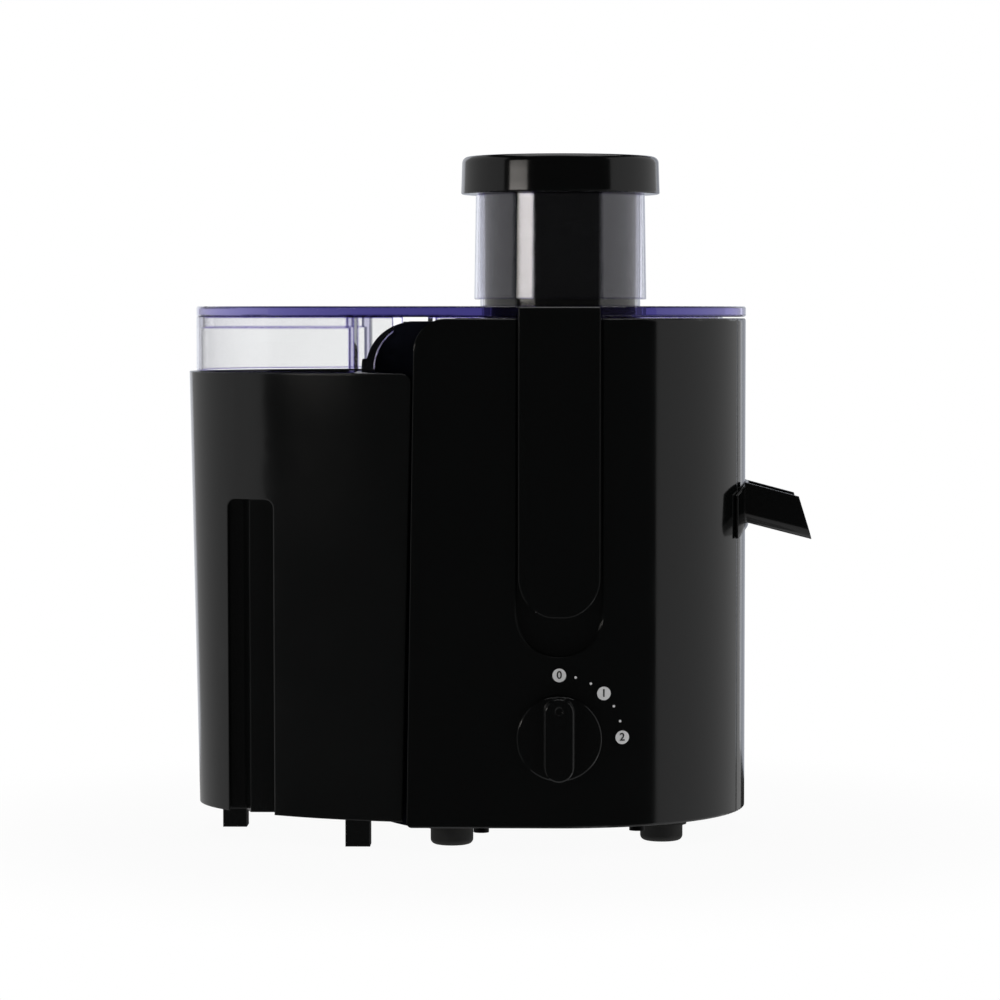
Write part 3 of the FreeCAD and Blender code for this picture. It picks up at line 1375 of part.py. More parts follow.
def make_rotor():
    """Make what spins on the motor's shaft, up to the drive coupling."""
    node(rod("shaft", "shaft_radius", "shaft_top - shaft_bottom", "0", "0", "shaft_bottom"), "motor_shaft")
    node(ring("armature_ring", "shaft_radius", "armature_radius", "stator_bottom", "stator_top"),
         "armature_core")
    ends = [
        ring(f"winding_{name}", "shaft_radius", "winding_radius", bottom, f"{bottom} + winding_overhang")
        for name, bottom in (("lower", "stator_bottom - winding_overhang"), ("upper", "stator_top"))
    ]
    node(group("winding_group", *ends), "armature_windings")
    node(ring("commutator_ring", "shaft_radius", "commutator_radius", "commutator_bottom",
              "commutator_bottom + commutator_height"), "commutator")

    fan = new_body("fan")
    add_turn(fan, "fan_disc", [
        ("shaft_radius", "fan_bottom"), ("fan_radius", "fan_bottom"),
        ("fan_radius", "fan_bottom + fan_disc"), ("fan_hub", "fan_bottom + fan_disc"),
        ("fan_hub", "fan_bottom + fan_height"), ("shaft_radius", "fan_bottom + fan_height"),
    ])
    blade = new_sketch(fan, "fan_blade_outline", "XY_Plane", "fan_bottom")
    draw(blade, [
        ("fan_hub - fan_blade", "-fan_blade / 2"), ("fan_radius - fan_blade", "-fan_blade / 2"),
        ("fan_radius - fan_blade", "fan_blade / 2"), ("fan_hub - fan_blade", "fan_blade / 2"),
    ])
    polar(fan, [pad(fan, blade, "fan_height")], FAN_BLADES)
    node(fan, "cooling_fan")

    node(turned("coupling", [
        ("shaft_radius", "coupling_bottom"), ("coupling_radius", "coupling_bottom"),
        ("coupling_radius", "basket_floor"), ("0", "basket_floor"), ("0", "shaft_top"),
        ("shaft_radius", "shaft_top"),
    ]), "drive_coupling")


def make_basket():
    """Make the spinning filter basket: a ribbed frame, a steel sieve cone and a toothed grater disc."""
    frame = new_body("basket")
    rim_out = "basket_rim_radius + basket_rim_width"
    add_turn(frame, "basket_floor", [
        ("0", "basket_floor"), ("basket_floor_radius + fit_gap + rib_thick", "basket_floor"),
        ("basket_floor_radius + fit_gap + rib_thick", "basket_floor_top"), ("0", "basket_floor_top"),
    ])
    add_turn(frame, "basket_rim", [
        ("basket_rim_radius", "basket_rim_bottom"), (rim_out, "basket_rim_bottom"), (rim_out, "basket_top"),
        ("basket_rim_radius", "basket_top"),
    ])
    rib = add_turn(frame, "basket_rib", [
        ("basket_floor_radius + fit_gap", "basket_floor_top"),
        ("basket_floor_radius + fit_gap + rib_thick", "basket_floor_top"),
        ("basket_rim_radius + fit_gap + rib_thick", "basket_rim_bottom"),
        ("basket_rim_radius + fit_gap", "basket_rim_bottom"),
    ], "rib_angle")
    polar(frame, [rib], BASKET_RIBS)
    node(frame, "filter_basket")

    node(turned("sieve", [
        ("basket_floor_radius - mesh_thick", "basket_floor_top"), ("basket_floor_radius", "basket_floor_top"),
        ("basket_rim_radius", "basket_rim_bottom"), ("basket_rim_radius - mesh_thick", "basket_rim_bottom"),
    ]), "strainer_mesh")

    grater = new_body("grater")
    add_turn(grater, "grater_disc", [
        ("0", "basket_floor_top"), ("grater_radius", "basket_floor_top"), ("grater_radius", "grater_top"),
        ("0", "grater_top"),
    ])
    row = new_sketch(grater, "grater_row", "XY_Plane", "grater_top")
    for tooth in range(GRATER_ROWS):
        circle(row, f"tooth_start + {tooth} * tooth_pitch", f"{tooth} * tooth_radius", "tooth_radius")
    polar(grater, [pad(grater, row, "tooth_height")], GRATER_SPOKES)
    node(grater, "grater_disc")


def make_inlet():
    """Make the cord inlet's bush in the back of the housing and the terminal block inside it."""
    inside = "body_inside - inlet_flange_thick"
    stem = rod("inlet_stem", "inlet_radius", f"body_radius + inlet_flange_thick - ({inside})", "-inlet_x",
               inside, "inlet_level", "Y")
    flanges = [
        rod(f"inlet_flange_{name}", "inlet_flange", "inlet_flange_thick", "-inlet_x", y, "inlet_level", "Y")
        for name, y in (("inner", inside), ("outer", "body_radius"))
    ]
    bore = rod("inlet_bore_hole", "inlet_bore", "through", "-inlet_x", "0", "inlet_level", "Y")
    node(cut("inlet_cut", fuse("inlet_full", stem, *flanges), bore), "cord_inlet_bush")
    node(block("terminal", "-inlet_x - terminal_width / 2", "bowl_foot_radius - 2 * terminal_depth",
               "body_bottom + base_thick", "terminal_width", "terminal_depth", "terminal_height"),
         "terminal_block")


def check():
    """Stop if any object failed or any piece has a bad shape."""
    failed = [thing.Label for thing in doc.Objects if {"Invalid", "Error"} & set(thing.State)]
    if failed:
        raise RuntimeError(f"failed: {', '.join(failed)}")
    bad = [piece.Label for piece in nodes if piece.Shape.isNull() or not piece.Shape.isValid()]
    bad += [piece.Label for piece in nodes if piece.Label not in bad and not piece.Shape.Solids]
    if bad:
        raise RuntimeError(f"bad shape: {', '.join(bad)}")


def main():
    """Build every piece, check it and write it."""
    fill_sheet()
    for make in (
        make_shells, make_drum_wall, make_base, make_deck, make_bowl, make_spout, make_lid, make_pusher,
        make_latches, make_knob, make_switch, make_interlock, make_container, make_motor, make_rotor,
        make_basket, make_inlet,
    ):
        make()
        doc.recompute()
    check()
    os.makedirs("parts", exist_ok=True)
    for piece in nodes:
        piece.Shape.exportStep(f"parts/{piece.Label}.step")
        print(f"{piece.Label}: {len(piece.Shape.Solids)} solid(s), {piece.Shape.Volume / 1000:.2f} cm3")


main()
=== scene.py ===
"""Looks of a centrifugal juicer: finishes, printed dial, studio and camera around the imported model.

Lengths are metres unless a name says millimetres. The front of the machine faces -Y.
"""
import logging
import math
from dataclasses import dataclass, field
from enum import Enum

import bmesh
import bpy
from mathutils import Matrix, Vector


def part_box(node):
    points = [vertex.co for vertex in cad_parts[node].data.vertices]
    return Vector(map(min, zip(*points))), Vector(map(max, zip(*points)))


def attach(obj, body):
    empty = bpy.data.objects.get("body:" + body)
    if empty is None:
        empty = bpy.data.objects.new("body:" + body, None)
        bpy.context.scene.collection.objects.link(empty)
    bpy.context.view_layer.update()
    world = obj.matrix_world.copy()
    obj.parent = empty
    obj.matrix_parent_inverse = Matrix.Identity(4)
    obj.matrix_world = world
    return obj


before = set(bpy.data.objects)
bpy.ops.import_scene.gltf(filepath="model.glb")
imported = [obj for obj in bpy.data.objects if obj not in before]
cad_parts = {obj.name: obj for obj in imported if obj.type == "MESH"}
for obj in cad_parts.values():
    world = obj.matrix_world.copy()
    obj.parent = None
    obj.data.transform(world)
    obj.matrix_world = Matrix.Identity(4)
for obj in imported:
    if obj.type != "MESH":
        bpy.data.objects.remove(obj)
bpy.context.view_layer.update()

LOG = logging.getLogger("juicer")
MM = 0.001
BEVEL_SAMPLES = 6
BLOTCH_DETAIL = 3.0
BLOTCH_LOW, BLOTCH_HIGH = 0.3, 0.7
GRAIN_DETAIL = 4.0
WHITE = "#ffffff"


class Body(Enum):
    """The rigid bodies that pieces ride on."""

    BASE = "base"


class Slot(Enum):
    """The record's material slots, which this script does not use."""

    GLOSS = "gloss_black"


def linear(hex_colour: str) -> tuple[float, float, float, float]:
    """Turn an sRGB hex colour into linear light.

    Args:
        hex_colour: Colour such as "#1c1c1a".

    Returns:
        Red, green, blue and an alpha of 1.
    """
    parts = [int(hex_colour[i:i + 2], 16) / 255 for i in (1, 3, 5)]
    light = [p / 12.92 if p <= 0.04045 else ((p + 0.055) / 1.055) ** 2.4 for p in parts]
    return light[0], light[1], light[2], 1.0


def per_metre(size_mm: float) -> float:
    """Return the texture scale that gives a pattern a real size in millimetres."""
    return 1 / (size_mm * MM)


def add_node(tree: bpy.types.NodeTree, kind: str, inputs: dict | None = None, **settings) -> bpy.types.Node:
    """Add a node with its settings, its values and its links.

    Args:
        tree: The node tree to add to.
        kind: Blender's name for the node's type.
        inputs: Socket name or number to a value, or to the output socket that feeds it.
        **settings: Properties of the node itself.

    Returns:
        The new node.
    """
    node = tree.nodes.new(kind)
    for name, value in settings.items():
        setattr(node, name, value)
    for socket, value in (inputs or {}).items():
        if isinstance(value, bpy.types.NodeSocket):
            tree.links.new(value, node.inputs[socket])
        else:
            node.inputs[socket].default_value = value
    return node


@dataclass(frozen=True)
class Finish:
    """A surface finish: a base colour that drifts a little, an uneven gloss and a fine relief."""

    name: str
    colour: str
    drift_colour: str
    roughness: float
    roughness_spread: float
    ior: float = 1.5
    metallic: float = 0.0
    blotch_mm: float = 40.0
    grain_mm: float = 1.5
    grain_stretch: tuple[float, float, float] = (1.0, 1.0, 1.0)
    relief_mm: float = 0.01
    edge_mm: float = 0.0
    gloss_level: float = 0.5

    def material(self) -> bpy.types.Material:
        """Build the finish's material.

        Returns:
            The material, made once and then shared.
        """
        made = bpy.data.materials.get(self.name)
        if made:
            return made
        made = bpy.data.materials.new(self.name)
        made.use_nodes = True
        tree = made.node_tree
        tree.nodes.clear()
        self.shade(tree)
        made.diffuse_color = linear(self.colour)
        return made

    def patterns(self, tree: bpy.types.NodeTree) -> tuple[bpy.types.NodeSocket, ...]:
        """Add the colour, roughness and relief patterns that the finish shares.

        Args:
            tree: The material's node tree.

        Returns:
            The colour, roughness and normal outputs.
        """
        place = add_node(tree, "ShaderNodeTexCoord").outputs["Object"]
        blotch = add_node(tree, "ShaderNodeTexNoise", {
            "Vector": place, "Scale": per_metre(self.blotch_mm), "Detail": BLOTCH_DETAIL,
        }).outputs["Fac"]
        grain_place = add_node(tree, "ShaderNodeMapping", {"Vector": place, "Scale": self.grain_stretch})
        grain = add_node(tree, "ShaderNodeTexNoise", {
            "Vector": grain_place.outputs["Vector"], "Scale": per_metre(self.grain_mm),
            "Detail": GRAIN_DETAIL,
        }).outputs["Fac"]
        colour = add_node(tree, "ShaderNodeMix", {
            "Factor": blotch, "A": linear(self.colour), "B": linear(self.drift_colour),
        }, data_type="RGBA")
        spread = self.roughness_spread
        roughness = add_node(tree, "ShaderNodeMapRange", {
            "Value": blotch, "From Min": BLOTCH_LOW, "From Max": BLOTCH_HIGH,
            "To Min": self.roughness - spread, "To Max": self.roughness + spread,
        })
        relief = {"Height": grain, "Strength": 1.0, "Distance": self.relief_mm * MM}
        if self.edge_mm:
            soft = add_node(tree, "ShaderNodeBevel", {"Radius": self.edge_mm * MM}, samples=BEVEL_SAMPLES)
            relief["Normal"] = soft.outputs["Normal"]
        bump = add_node(tree, "ShaderNodeBump", relief)
        return colour.outputs[2], roughness.outputs["Result"], bump.outputs["Normal"]

    def shade(self, tree: bpy.types.NodeTree) -> None:
        """Fill the node tree with an opaque surface."""
        colour, roughness, normal = self.patterns(tree)
        surface = add_node(tree, "ShaderNodeBsdfPrincipled", {
            "Base Color": colour, "Roughness": roughness, "Normal": normal,
            "Metallic": self.metallic, "IOR": self.ior, "Specular IOR Level": self.gloss_level,
        })
        add_node(tree, "ShaderNodeOutputMaterial", {"Surface": surface.outputs["BSDF"]})


@dataclass(frozen=True)
class ClearFinish(Finish):
    """A clear moulding toned so that long paths through it turn violet, with violet edge light painted into its
    colour near the edges.
    """

    tone: str = "#8b81c8"
    tone_density: float = 25.0
    gloss_ior: float = 1.5
    # Painted edge light: the violet painted into the colour near the edges, and where its mask starts and where
    # it is full.
    rim_colour: str = "#4b3d92"
    rim_mm: float = 1.8
    rim_from: float = 0.99
    rim_full: float = 0.8
    coat_roughness: float = 0.03

    def shade(self, tree: bpy.types.NodeTree) -> None:
        """Fill the node tree with a clear surface over a toned body, its colour turned violet near the edges as
        painted edge light.
        """
        colour, roughness, normal = self.patterns(tree)
        # Painted edge light: where the bevelled normal turns away from the face, the colour is mixed towards
        # violet, standing in for light carried out through the edges.
        flat = add_node(tree, "ShaderNodeNewGeometry").outputs["Normal"]
        soft = add_node(tree, "ShaderNodeBevel", {"Radius": self.rim_mm * MM}, samples=BEVEL_SAMPLES)
        turn = add_node(tree, "ShaderNodeVectorMath", {0: flat, 1: soft.outputs["Normal"]},
                        operation="DOT_PRODUCT")
        painted_edge_mask = add_node(tree, "ShaderNodeMapRange", {
            "Value": turn.outputs["Value"], "From Min": self.rim_from, "From Max": self.rim_full,
        })
        colour_with_painted_edge = add_node(tree, "ShaderNodeMix", {
            "Factor": painted_edge_mask.outputs["Result"], "A": colour, "B": linear(self.rim_colour),
        }, data_type="RGBA")
        surface = add_node(tree, "ShaderNodeBsdfPrincipled", {
            "Base Color": colour_with_painted_edge.outputs[2], "Roughness": roughness, "Normal": normal, "IOR": self.ior,
            "Transmission Weight": 1.0,
            "Coat Weight": 1.0, "Coat IOR": self.gloss_ior, "Coat Roughness": self.coat_roughness,
        })
        body = add_node(tree, "ShaderNodeVolumeAbsorption", {
            "Color": linear(self.tone), "Density": self.tone_density,
        })
        add_node(tree, "ShaderNodeOutputMaterial", {
            "Surface": surface.outputs["BSDF"], "Volume": body.outputs["Volume"],
        })


@dataclass(frozen=True)
class SieveFinish(Finish):
    """Perforated steel: a bright sheet with round spots painted dark as shade where the holes are."""

    hole_pitch_mm: float = 1.6
    # Painted shade: the dark colour painted in the holes.
    hole_colour: str = "#0b0b0c"
    hole_inner: float = 0.28
    hole_outer: float = 0.36

    def shade(self, tree: bpy.types.NodeTree) -> None:
        """Fill the node tree with a bright sheet that has rows of round spots painted dark as hole shade."""
        colour, roughness, normal = self.patterns(tree)
        place = add_node(tree, "ShaderNodeTexCoord").outputs["Object"]
        cells = add_node(tree, "ShaderNodeTexVoronoi", {
            "Vector": place, "Scale": per_metre(self.hole_pitch_mm), "Randomness": 0.0,
        })
        # Painted shade: round spots on a grid are mixed towards the dark hole colour.
        hole_shade_mask = add_node(tree, "ShaderNodeMapRange", {
            "Value": cells.outputs["Distance"], "From Min": self.hole_inner, "From Max": self.hole_outer,
        })
        seen = add_node(tree, "ShaderNodeMix", {
            "Factor": hole_shade_mask.outputs["Result"], "A": linear(self.hole_colour), "B": colour,
        }, data_type="RGBA")
        surface = add_node(tree, "ShaderNodeBsdfPrincipled", {
            "Base Color": seen.outputs[2], "Roughness": roughness, "Normal": normal,
            "Metallic": self.metallic,
        })
        add_node(tree, "ShaderNodeOutputMaterial", {"Surface": surface.outputs["BSDF"]})


# ABS moulded in a polished tool: nearly black, mirror-like, with the faint waviness of a moulding.
POLISHED_ABS = Finish("polished_abs", "#060707", "#090a0a", roughness=0.1, roughness_spread=0.03, ior=1.54,
                      blotch_mm=55, grain_mm=9, relief_mm=0.004, edge_mm=1.1)
# The same plastic from a less polished tool: the reflection spreads a little and lifts the black.
SATIN_ABS = Finish("satin_abs", "#0b0c0c", "#101111", roughness=0.13, roughness_spread=0.03, ior=1.54,
                   blotch_mm=60, grain_mm=5, relief_mm=0.006, edge_mm=1.1)
# The wall inside the clear hood: the same plastic left dull, so that it stays black behind the lid.
DULL_ABS = Finish("dull_abs", "#090a0f", "#0c0d13", roughness=0.6, roughness_spread=0.05, ior=1.54,
                  blotch_mm=50, grain_mm=1.2, relief_mm=0.02, edge_mm=0.7, gloss_level=0.0)
# SAN, a clear stiff plastic: glassy faces, a violet toner, and violet edge light painted into the colour near
# the edges.
CLEAR_SAN = ClearFinish("clear_san", "#e8e8e4", "#eeeeea", roughness=0.03, roughness_spread=0.015, ior=1.12,
                        grain_mm=12, relief_mm=0.002)
# The pusher's sleeve: the same plastic, thinner and with less toner.
CLEAR_SLEEVE = ClearFinish("clear_sleeve", "#f4f4fb", "#f8f8fd", roughness=0.03, roughness_spread=0.015,
                           ior=1.12, grain_mm=12, relief_mm=0.002, tone_density=6.0)
# Moulded ABS off a spark-eroded tool: an even fine texture that kills the gloss.
TEXTURED_ABS = Finish("textured_abs", "#17181a", "#1d1e20", roughness=0.55, roughness_spread=0.06, ior=1.54,
                      grain_mm=0.8, relief_mm=0.05)
# Moulded rubber: dull black with a dusty bloom.
MOULDED_RUBBER = Finish("moulded_rubber", "#171716", "#242422", roughness=0.72, roughness_spread=0.08, ior=1.52,
                        blotch_mm=9, grain_mm=0.6, relief_mm=0.06, edge_mm=0.5)
# Turned and brushed stainless steel: fine lines round the part.
BRUSHED_STEEL = Finish("brushed_steel", "#b9babb", "#a5a6a8", roughness=0.3, roughness_spread=0.08, metallic=1.0,
                       blotch_mm=12, grain_mm=0.4, grain_stretch=(1.0, 1.0, 9.0), relief_mm=0.012)
# Screws blackened by oxidation.
BLACKENED_STEEL = Finish("blackened_steel", "#1b1b1c", "#242425", roughness=0.45, roughness_spread=0.08,
                         metallic=1.0, blotch_mm=3, grain_mm=0.5, relief_mm=0.02)
# Stacked laminations: darker steel with lines across the stack.
LAMINATED_STEEL = Finish("laminated_steel", "#77797b", "#66686a", roughness=0.42, roughness_spread=0.08,
                         metallic=1.0, blotch_mm=10, grain_mm=0.7, grain_stretch=(0.05, 0.05, 1.0),
                         relief_mm=0.08)
# Perforated sheet for the juice sieve, its holes painted dark as shade.
SIEVE_STEEL = SieveFinish("sieve_steel", "#c2c3c4", "#aeb0b2", roughness=0.28, roughness_spread=0.06,
                          metallic=1.0, relief_mm=0.01)
# Enamelled copper wire, wound in layers.
WOUND_COPPER = Finish("wound_copper", "#b5652f", "#8f4a20", roughness=0.35, roughness_spread=0.1, metallic=1.0,
                      blotch_mm=6, grain_mm=0.9, grain_stretch=(0.2, 0.2, 1.0), relief_mm=0.15)
# Die-cast aluminium: pale and slightly sandy.
CAST_ALUMINIUM = Finish("cast_aluminium", "#b6b7b9", "#a2a3a6", roughness=0.5, roughness_spread=0.08,
                        metallic=1.0, blotch_mm=8, grain_mm=0.7, relief_mm=0.05)
# Pressed carbon: soft matt black.
PRESSED_CARBON = Finish("pressed_carbon", "#121212", "#1b1b1b", roughness=0.6, roughness_spread=0.08, ior=1.6,
                        grain_mm=0.5, relief_mm=0.05)
# Pad-printed ink, light for the spots and dark for the figures.
LIGHT_INK = Finish("light_ink", "#e6e6e6", "#dededf", roughness=0.45, roughness_spread=0.05,
                   blotch_mm=2, grain_mm=0.3, relief_mm=0.004)
DARK_INK = Finish("dark_ink", "#0b0b0b", "#111111", roughness=0.45, roughness_spread=0.05,
                  blotch_mm=2, grain_mm=0.3, relief_mm=0.004)


def dress(finish: Finish, *nodes: str) -> None:
    """Give CAD nodes a finish.

    Args:
        finish: The finish to use.
        *nodes: Names of the nodes.
    """
    for name in nodes:
        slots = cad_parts[name].data.materials
        slots.clear()
        slots.append(finish.material())
        LOG.info("%s: %s", name, finish.name)


def new_piece(name: str, shape: bmesh.types.BMesh, finish: Finish, body: Body) -> bpy.types.Object:
    """Turn a finished bmesh into a piece that rides on a body.

    Args:
        name: The piece's name.
        shape: The bmesh, in the row frame, which is freed.
        finish: The finish of the whole piece.
        body: The body that it moves with.

    Returns:
        The new object.
    """
    mesh = bpy.data.meshes.new(name)
    bmesh.ops.recalc_face_normals(shape, faces=shape.faces)
    shape.to_mesh(mesh)
    shape.free()
    mesh.materials.append(finish.material())
    piece = bpy.data.objects.new(name, mesh)
    bpy.context.scene.collection.objects.link(piece)
    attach(piece, body.value)
    LOG.info("%s: %s", name, finish.name)
    return piece


@dataclass
class Casing:
    """The housing: shells, drum wall, base, feet, bowl and spout."""

    polished: tuple[str, ...] = ("front_shell", "rear_shell", "juice_spout")
    textured: tuple[str, ...] = ("base_plate", "motor_deck", "juice_bowl", "terminal_block", "speed_switch",
                                 "interlock_switch", "interlock_plunger")
    rubber: tuple[str, ...] = ("rubber_feet", "motor_bushes", "shaft_seal", "cord_inlet_bush")
    steel: tuple[str, ...] = ("latch_pins", "switch_nut", "switch_spindle")

    def build(self) -> None:
        """Dress every node of the casing."""
        dress(POLISHED_ABS, *self.polished)
        dress(DULL_ABS, "drum_wall")
        dress(BLACKENED_STEEL, "base_screws")
        dress(TEXTURED_ABS, *self.textured)
        dress(MOULDED_RUBBER, *self.rubber)
        dress(BRUSHED_STEEL, *self.steel)


@dataclass
class Container:
    """The pulp container."""

    node: str = "pulp_container"

    def build(self) -> None:
        """Dress the container."""
        dress(SATIN_ABS, self.node)


@dataclass
class Top:
    """What closes the machine: lid, pusher and latches."""

    polished: tuple[str, ...] = ("pusher_cap", "pusher_plunger", "front_latch", "rear_latch")

    def build(self) -> None:
        """Dress the lid, the pusher and the latches."""
        dress(CLEAR_SAN, "lid")
        dress(CLEAR_SLEEVE, "pusher_sleeve")
        dress(POLISHED_ABS, *self.polished)


@dataclass
class Drive:
    """The motor, its rotor and the basket that it spins."""

    steel: tuple[str, ...] = ("motor_shaft", "grater_disc", "motor_bolts", "motor_screws", "upper_bearing",
                              "lower_bearing")
    laminated: tuple[str, ...] = ("stator_core", "armature_core")
    copper: tuple[str, ...] = ("field_coils", "armature_windings", "commutator")
    cast: tuple[str, ...] = ("upper_bracket", "lower_bracket")
    textured: tuple[str, ...] = ("brush_holders", "cooling_fan", "drive_coupling", "filter_basket")

    def build(self) -> None:
        """Dress every node of the drive."""
        dress(BRUSHED_STEEL, *self.steel)
        dress(LAMINATED_STEEL, *self.laminated)
        dress(WOUND_COPPER, *self.copper)
        dress(CAST_ALUMINIUM, *self.cast)
        dress(TEXTURED_ABS, *self.textured)
        dress(PRESSED_CARBON, "carbon_brushes")
        dress(SIEVE_STEEL, "strainer_mesh")


@dataclass
class Dial:
    """The speed dial: a knob with printed spots, figures and dots round it."""

    ring_radius: float = 29 * MM
    spot_radius: float = 3.15 * MM
    spot_taper: float = 0.97
    spot_sides: int = 48
    dot_radius: float = 0.6 * MM
    figure_height: float = 3.6 * MM
    figure_bold: float = 0.08 * MM
    font_per_height: float = 1.4
    ink: float = 0.12 * MM
    weld: float = 0.0024 * MM
    spot_angles: tuple[float, ...] = (0.0, 45.0, 90.0)
    dot_angles: tuple[float, ...] = (15.0, 30.0, 60.0, 75.0)
    centre: Vector = field(init=False)
    drum_radius: float = field(init=False)
    drum_axis: Vector = field(init=False)

    def __post_init__(self) -> None:
        """Take the dial's centre and the housing's curve from the frame."""
        low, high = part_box("control_knob")
        self.centre = (low + high) / 2
        shaft_low, shaft_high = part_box("motor_shaft")
        self.drum_axis = (shaft_low + shaft_high) / 2
        self.drum_radius = self.drum_axis.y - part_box("front_shell")[0].y

    def surface(self, x: float) -> float:
        """Return y of the housing's front at a place x: flat left of the drive axis, round right of it."""
        across = max(0.0, x - self.drum_axis.x)
        return self.drum_axis.y - math.sqrt(self.drum_radius ** 2 - across ** 2)

    def wrap(self, shape: bmesh.types.BMesh, lift: float) -> None:
        """Move a flat print onto the housing.

        Args:
            shape: The print, drawn in x and z with its depth in y, front at the least y.
            lift: How far its back stands off the housing.
        """
        for vertex in shape.verts:
            vertex.co.y += self.surface(vertex.co.x) - lift

    def place(self, angle: float) -> Vector:
        """Return the place on the dial's ring at an angle clockwise from the top, in degrees."""
        turn = math.radians(angle)
        return self.centre + Vector((math.sin(turn), 0, math.cos(turn))) * self.ring_radius

    def upright(self, place: Vector) -> Matrix:
        """Return the matrix that stands a flat print up at a place on the dial."""
        return Matrix.Translation((place.x, -self.ink / 2, place.z)) @ Matrix.Rotation(math.pi / 2, 4, "X")

    def spot(self, name: str, angle: float, radius: float) -> None:
        """Print one round spot.

        Args:
            name: The piece's name.
            angle: Degrees clockwise from the top.
            radius: The spot's radius.
        """
        shape = bmesh.new()
        bmesh.ops.create_cone(
            shape, cap_ends=True, cap_tris=False, segments=self.spot_sides, radius1=radius,
            radius2=radius * self.spot_taper, depth=self.ink, matrix=self.upright(self.place(angle)),
        )
        self.wrap(shape, 0.0)
        new_piece(name, shape, LIGHT_INK, Body.BASE)

    def figure(self, digit: str, angle: float) -> None:
        """Print one figure on its spot.

        Args:
            digit: The figure.
            angle: Degrees clockwise from the top.
        """
        text = bpy.data.curves.new(f"figure_{digit}", "FONT")
        text.body = digit
        text.size = self.figure_height * self.font_per_height
        text.align_x, text.align_y = "CENTER", "CENTER"
        text.extrude = self.ink / 2
        text.offset = self.figure_bold
        holder = bpy.data.objects.new(f"figure_{digit}_text", text)
        mesh = bpy.data.meshes.new_from_object(holder)
        bpy.data.objects.remove(holder)
        shape = bmesh.new()
        shape.from_mesh(mesh)
        bpy.data.meshes.remove(mesh)
        bmesh.ops.remove_doubles(shape, verts=shape.verts, dist=self.weld)
        bmesh.ops.transform(shape, verts=shape.verts, matrix=self.upright(self.place(angle)))
        self.wrap(shape, self.ink)
        new_piece(f"dial_figure_{digit}", shape, DARK_INK, Body.BASE)

    def build(self) -> None:
        """Dress the knob and print the dial."""
        dress(POLISHED_ABS, "control_knob")
        for digit, angle in enumerate(self.spot_angles):
            self.spot(f"dial_spot_{digit}", angle, self.spot_radius)
            self.figure(str(digit), angle)
        for index, angle in enumerate(self.dot_angles, start=1):
            self.spot(f"dial_dot_{index}", angle, self.dot_radius)


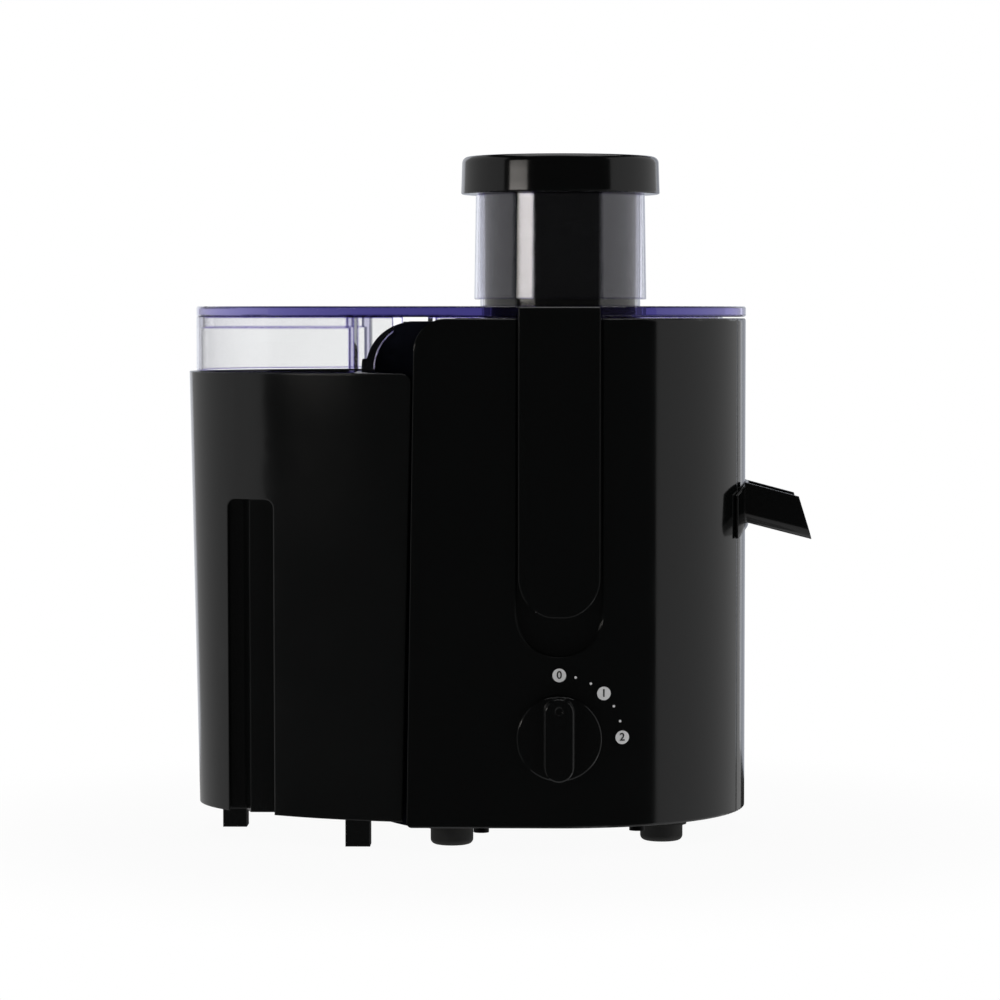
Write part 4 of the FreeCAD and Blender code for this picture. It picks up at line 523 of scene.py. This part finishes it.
@dataclass
class Studio:
    """Pale floor, soft lights, white surroundings and the camera."""

    focal_mm: float = 134.6
    sensor_mm: float = 36.0
    view_depth: float = 50.0
    camera_back: float = 1.8
    camera_across: float = 0.007
    camera_height: float = 0.2484
    aim_across: float = -0.029
    aim_height: float = 0.158
    floor_radius: float = 1.5
    floor_sides: int = 96
    floor_colour: str = "#fbfbfb"
    shadow_reach: float = 0.35
    shadow_strength: float = 0.05
    light_aim: float = 0.15
    room_dim: float = 0.03
    axis: Vector = field(init=False)

    def __post_init__(self) -> None:
        """Take the drive axis from the frame."""
        low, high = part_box("motor_shaft")
        self.axis = Vector(((low.x + high.x) / 2, (low.y + high.y) / 2, 0))

    def camera(self) -> None:
        """Set the camera to the photograph's view."""
        data = bpy.data.cameras.new("camera")
        data.lens = self.focal_mm
        data.sensor_width = self.sensor_mm
        data.clip_end = self.view_depth
        camera = bpy.data.objects.new("camera", data)
        bpy.context.scene.collection.objects.link(camera)
        camera.location = self.axis + Vector((self.camera_across, -self.camera_back, self.camera_height))
        aim = self.axis + Vector((self.aim_across, 0, self.aim_height))
        camera.rotation_euler = (aim - camera.location).to_track_quat("-Z", "Y").to_euler()
        bpy.context.scene.camera = camera

    def floor(self) -> None:
        """Lay the floor: a white sweep with a faint shadow near the machine, kept out of reflections."""
        shape = bmesh.new()
        bmesh.ops.create_circle(shape, cap_ends=True, segments=self.floor_sides, radius=self.floor_radius)
        mesh = bpy.data.meshes.new("floor")
        shape.to_mesh(mesh)
        shape.free()
        paint = bpy.data.materials.new("white_sweep")
        paint.use_nodes = True
        tree = paint.node_tree
        tree.nodes.clear()
        place = add_node(tree, "ShaderNodeTexCoord").outputs["Object"]
        away = add_node(tree, "ShaderNodeVectorMath", {0: place}, operation="LENGTH").outputs["Value"]
        fade = add_node(tree, "ShaderNodeMapRange", {
            "Value": away, "From Min": self.shadow_reach / 2, "From Max": self.shadow_reach,
            "To Min": 1 - self.shadow_strength, "To Max": 1.0,
        }, interpolation_type="SMOOTHSTEP")
        lit = add_node(tree, "ShaderNodeBsdfDiffuse", {"Color": linear(self.floor_colour)})
        white = add_node(tree, "ShaderNodeEmission", {"Color": linear(WHITE), "Strength": 1.0})
        both = add_node(tree, "ShaderNodeMixShader", {
            0: fade.outputs["Result"], 1: lit.outputs[0], 2: white.outputs[0],
        })
        add_node(tree, "ShaderNodeOutputMaterial", {"Surface": both.outputs[0]})
        mesh.materials.append(paint)
        floor = bpy.data.objects.new("floor", mesh)
        bpy.context.scene.collection.objects.link(floor)
        floor.visible_glossy = False

    def softbox(self, name: str, azimuth: float, distance: float, height: float, size: tuple[float, float],
                radiance: float, colour: str = WHITE) -> None:
        """Hang one soft light that faces the machine.

        Args:
            name: The light's name.
            azimuth: Degrees round from the front, positive to the machine's right.
            distance: Distance from the drive axis.
            height: Height of the light's middle.
            size: Width and height of its face.
            radiance: How bright its face is, where 1 is as bright as white paper.
            colour: sRGB hex colour.
        """
        data = bpy.data.lights.new(name, "AREA")
        data.shape = "RECTANGLE"
        data.size, data.size_y = size
        data.energy = radiance * math.pi * size[0] * size[1]
        data.color = linear(colour)[:3]
        light = bpy.data.objects.new(name, data)
        bpy.context.scene.collection.objects.link(light)
        turn = math.radians(azimuth)
        light.location = self.axis + Vector((math.sin(turn) * distance, -math.cos(turn) * distance, height))
        aim = self.axis + Vector((0, 0, self.light_aim))
        light.rotation_euler = (aim - light.location).to_track_quat("-Z", "Y").to_euler()
        light.visible_camera = False

    def lights(self) -> None:
        """Hang the softboxes and strips."""
        self.softbox("tube_strip", azimuth=-49, distance=1.7, height=0.37, size=(0.65, 0.22), radiance=4.4,
                     colour="#fffaf4")
        self.softbox("right_box", azimuth=106, distance=1.2, height=0.15, size=(2.5, 2.6), radiance=0.45)
        self.softbox("left_box", azimuth=-116, distance=1.2, height=0.15, size=(2.7, 2.6), radiance=0.38)
        self.softbox("back_box", azimuth=180, distance=2.4, height=0.5, size=(3.0, 1.6), radiance=0.6,
                     colour="#eef3ff")
        self.softbox("top_box", azimuth=175, distance=0.3, height=2.0, size=(1.6, 1.6), radiance=1.6)
        self.softbox("floor_glow", azimuth=90, distance=0.1, height=-0.35, size=(1.0, 1.0), radiance=0.4)

    def surroundings(self) -> None:
        """Make the room white to the eye and through clear plastic, and dim in reflections."""
        world = bpy.data.worlds.new("studio")
        bpy.context.scene.world = world
        world.use_nodes = True
        tree = world.node_tree
        tree.nodes.clear()
        path = add_node(tree, "ShaderNodeLightPath")
        through = add_node(tree, "ShaderNodeMath", {
            0: path.outputs["Is Transmission Ray"], 1: path.outputs["Glossy Depth"],
        }, operation="SUBTRACT", use_clamp=True)
        seen = add_node(tree, "ShaderNodeMath", {
            0: path.outputs["Is Camera Ray"], 1: through.outputs[0],
        }, operation="MAXIMUM")
        dim = add_node(tree, "ShaderNodeBackground", {"Color": linear(WHITE), "Strength": self.room_dim})
        white = add_node(tree, "ShaderNodeBackground", {"Color": linear(WHITE), "Strength": 1.0})
        both = add_node(tree, "ShaderNodeMixShader", {
            0: seen.outputs[0], 1: dim.outputs[0], 2: white.outputs[0],
        })
        add_node(tree, "ShaderNodeOutputWorld", {"Surface": both.outputs[0]})
        bpy.context.scene.view_settings.view_transform = "Standard"

    def build(self) -> None:
        """Set the whole studio up."""
        self.camera()
        self.floor()
        self.lights()
        self.surroundings()


def main() -> None:
    """Build the studio and every sub-assembly in order."""
    logging.basicConfig(level=logging.INFO, format="%(message)s")
    for assembly in (Studio(), Casing(), Container(), Top(), Drive(), Dial()):
        assembly.build()
        LOG.info("%s done", type(assembly).__name__)


if __name__ == "__main__":
    main()
